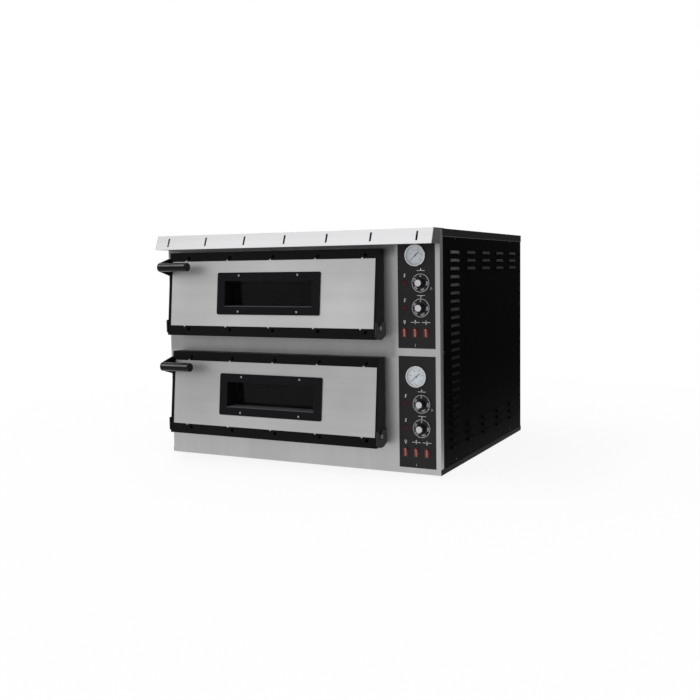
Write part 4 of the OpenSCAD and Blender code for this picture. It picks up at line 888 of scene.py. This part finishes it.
class OVEN_OT_knobs(Operator):
    """Models the dial knobs: bevelled skirt, fluted grip, pale cap, white ring and numbers"""
    bl_idname = "oven.knobs"
    bl_label = "Knobs"

    def execute(self, context):
        finish = context.scene.oven_finish
        sizes = context.scene.oven_sizes
        black = moulded("knob_thermoset", (0.006, 0.007, 0.010), 0.35, 0.25)
        pale = moulded("knob_cap", (0.62, 0.62, 0.64), 0.45)
        ink = screen_print("knob_ink", tint(finish.print_white, 0.8))
        for deck in DECKS:
            for zone in ZONES:
                node = f"{zone}_knob_{deck}"
                body = f"{deck}_{zone}_knob"
                centre = joint_place(f"{body}_turn")
                low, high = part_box(node)
                skirt_face = high.y - SHAFT_REACH - SKIRT_DEPTH
                knob = self.knob(node, centre, low, high, skirt_face, sizes)
                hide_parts(node)
                finished(knob, black, body)
                finished(self.cap(f"knob_cap_{zone}_{deck}", centre, low), pale, body)
                radius = (high.x - low.x) / 2
                finished(self.dial(f"knob_dial_{zone}_{deck}", centre, radius, skirt_face, sizes),
                         ink, body)
        return {"FINISHED"}

    def knob(self, node, centre, low, high, skirt_face, sizes):
        """Skirt, grip and shaft of one knob."""
        turned = (math.radians(90), 0, 0)
        radius = (high.x - low.x) / 2
        skirt = start("cylinder", vertices=96, radius=radius, depth=SKIRT_DEPTH,
                      location=(centre.x, skirt_face + SKIRT_DEPTH / 2, centre.z), rotation=turned)
        modified(skirt, "BEVEL", width=sizes.edge, segments=3, limit_method="ANGLE")
        shaft = start("cylinder", vertices=48, radius=SHAFT_RADIUS, depth=high.y - skirt_face,
                      location=(centre.x, (high.y + skirt_face) / 2, centre.z), rotation=turned)
        end = low.y + CAP_DEPTH * 0.6
        grip = start("cone", vertices=sizes.knob_flutes * 6, depth=skirt_face - end,
                     radius1=GRIP_FOOT_RADIUS, radius2=GRIP_TIP_RADIUS, rotation=turned,
                     location=(centre.x, (skirt_face + end) / 2, centre.z))
        self.flute(grip, sizes.knob_flutes)
        modified(grip, "BEVEL", width=sizes.edge, segments=2, limit_method="ANGLE",
                 angle_limit=math.radians(60))
        knob = joined([skirt, shaft, grip], f"{node}_moulding")
        alone(knob)
        bpy.ops.object.shade_smooth_by_angle(angle=math.radians(35))
        return knob

    def flute(self, grip, count):
        """Draws the wall in at every flute, in the grip's own coordinates."""
        for vertex in grip.data.vertices:
            angle = math.atan2(vertex.co.y, vertex.co.x)
            dip = FLUTE_DIP * (1 + math.cos(angle * count))
            vertex.co.xy *= 1 - dip

    def cap(self, name, centre, low):
        """Pale disc on the grip's end."""
        cap = start("cylinder", vertices=64, radius=CAP_RADIUS, depth=CAP_DEPTH,
                    location=(centre.x, low.y + CAP_DEPTH / 2, centre.z), rotation=(math.radians(90), 0, 0))
        modified(cap, "BEVEL", width=0.25 * MM, segments=3, limit_method="ANGLE")
        return joined([cap], name)

    def dial(self, name, centre, radius, y, sizes):
        """White ring, ticks and numbers on the skirt."""
        depth = sizes.print_height
        marks = [band(face_place(centre, 0, 0, y), radius - RING_IN, sizes.ring, depth)]
        for i in range(sizes.knob_steps + 1):
            angle = -i * KNOB_SWEEP / sizes.knob_steps
            marks.append(stroke(round_place(centre, radius - TICK_INNER_IN, angle, y),
                                round_place(centre, radius - TICK_OUTER_IN, angle, y), 0.8 * MM, depth))
            if i % 2 == 0:
                place = round_place(centre, radius - NUMBER_IN, angle, y)
                marks.append(numeral(str(i * KNOB_STEP_DEGREES), place, sizes.numeral, depth, angle))
        return joined(marks, name)


class OVEN_OT_rockers(Operator):
    """Models the rocker switches with rounded edges"""
    bl_idname = "oven.rockers"
    bl_label = "Rockers"

    def execute(self, context):
        finish = context.scene.oven_finish
        first, second = (joint_place(f"lower_{name}_rocker_tilt").x for name in SWITCHES[:2])
        red = rocker_plastic("rocker_red", tuple(finish.switch_red), first, second - first)
        for deck in DECKS:
            for switch in SWITCHES:
                piece = softened(f"{switch}_rocker_{deck}", 0.5 * MM)
                finished(piece, red, f"{deck}_{switch}_rocker")
        return {"FINISHED"}


class OVEN_OT_stage(Operator):
    """Sets the floor, the soft lights, the world and the camera"""
    bl_idname = "oven.stage"
    bl_label = "Studio"

    def execute(self, context):
        stage = context.scene.oven_stage
        self.floor(stage)
        self.lights(stage)
        self.world(context.scene, stage)
        self.camera(context.scene, stage)
        context.scene.view_settings.view_transform = "Standard"
        return {"FINISHED"}

    def floor(self, stage):
        """White floor that keeps a soft shadow near the oven and fades to plain white further off."""
        recipe = Recipe("studio_floor")
        place = recipe.add("TexCoord").outputs["Object"]
        x, y, z = recipe.axes(place)
        reach = recipe.node("VectorMath", {"operation": "LENGTH"}, {0: place}, "Value")
        beside = x.rise(0.5, 0.75) * y.rise(-0.4, -0.15) * 0.92
        before = y.fall(-1.567, -0.9) * 0.25
        dark = recipe.seen_by("Glossy") * beside.math("MAXIMUM", before)
        white = recipe.add("Emission", {}, {"Color": (1, 1, 1, 1), "Strength": 1.0 - dark})
        matt = recipe.add("BsdfDiffuse", {}, {"Color": (0.95, 0.95, 0.95, 1)})
        fade = reach.rise(0.6, 2.6) * 0.12 + 0.88
        blend = recipe.add("MixShader", {}, {
            0: fade * recipe.seen_by("Camera", "Glossy"), 1: matt.outputs[0], 2: white.outputs[0]})
        recipe.feed(recipe.output.inputs["Surface"], blend.outputs[0])
        floor = start("plane", size=stage.floor)
        floor.name = "studio_floor"
        floor.data.materials.append(recipe.material)

    def lights(self, stage):
        """One long soft lamp overhead, on the left."""
        place = Vector((-0.9, -0.4, 3.1))
        bpy.ops.object.select_all(action="DESELECT")
        bpy.ops.object.light_add(type="AREA", location=place)
        lamp = bpy.context.active_object
        lamp.name = "key"
        lamp.data.energy = stage.key_power
        lamp.data.shape = "RECTANGLE"
        lamp.data.size = 1.2
        lamp.data.size_y = 0.6
        aim = Vector((0, 0, 0.4)) - place
        lamp.rotation_euler = aim.to_track_quat("-Z", "Y").to_euler()

    def world(self, scene, stage):
        """White to the eye, and in reflections but for a dark part behind and a dimmer horizon."""
        recipe = Recipe("studio", world=True)
        x, y, z = recipe.axes(recipe.add("TexCoord").outputs["Generated"])
        behind = x.rise(0.0, 0.2) * y.rise(0.1, 0.3) * z.fall(0.133, 0.3) * 0.92
        horizon = z.fall(0.029, 0.14) * 0.36
        mirrored = recipe.seen_by("Glossy")
        white = recipe.seen_by("Camera", "Transmission")
        strength = (1.0 - mirrored) * (1.0 - white) * stage.sky + white + \
            mirrored * (1.0 - behind) * (1.0 - horizon)
        recipe.feed(recipe.shader.inputs["Color"], (1, 1, 1, 1))
        recipe.feed(recipe.shader.inputs["Strength"], strength)
        scene.world = recipe.material

    def camera(self, scene, stage):
        """A camera to the right of the front, a little below the lid's height."""
        place = Vector((1.4931, -2.9207, 0.6389))
        yaw, pitch, roll = 0.4529, -0.0770, -0.0132
        bpy.ops.object.camera_add()
        camera = bpy.context.active_object
        camera.data.lens = stage.lens
        camera.data.shift_x = -0.0234
        camera.data.shift_y = -0.0168
        camera.matrix_world = (
            Matrix.Translation(place) @ Matrix.Rotation(yaw, 4, "Z")
            @ Matrix.Rotation(math.radians(90) + pitch, 4, "X") @ Matrix.Rotation(roll, 4, "Z"))
        scene.camera = camera


OPERATORS = (OVEN_OT_casing, OVEN_OT_chambers, OVEN_OT_doors, OVEN_OT_plates, OVEN_OT_gauges,
             OVEN_OT_knobs, OVEN_OT_rockers, OVEN_OT_stage)


class OVEN_PT_panel(Panel):
    """Lists the oven's finishes, sizes and steps"""
    bl_idname = "OVEN_PT_panel"
    bl_label = "Deck Pizza Oven"
    bl_space_type = "VIEW_3D"
    bl_region_type = "UI"
    bl_category = "Oven"

    def draw(self, context):
        for name in ("oven_finish", "oven_sizes", "oven_stage"):
            group = getattr(context.scene, name)
            box = self.layout.box()
            for key in group.bl_rna.properties.keys():
                if key not in {"rna_type", "name"}:
                    box.prop(group, key)
        for operator in OPERATORS:
            self.layout.operator(operator.bl_idname)


GROUPS = {"oven_finish": OvenFinish, "oven_sizes": OvenSizes, "oven_stage": OvenStage}


def register():
    for name, group in GROUPS.items():
        bpy.utils.register_class(group)
        setattr(bpy.types.Scene, name, PointerProperty(type=group))
    for operator in OPERATORS:
        bpy.utils.register_class(operator)
    bpy.utils.register_class(OVEN_PT_panel)


def unregister():
    bpy.utils.unregister_class(OVEN_PT_panel)
    for operator in reversed(OPERATORS):
        bpy.utils.unregister_class(operator)
    for name, group in GROUPS.items():
        delattr(bpy.types.Scene, name)
        bpy.utils.unregister_class(group)


def main():
    register()
    for operator in OPERATORS:
        group, name = operator.bl_idname.split(".")
        getattr(getattr(bpy.ops, group), name)()


if __name__ == "__main__":
    main()
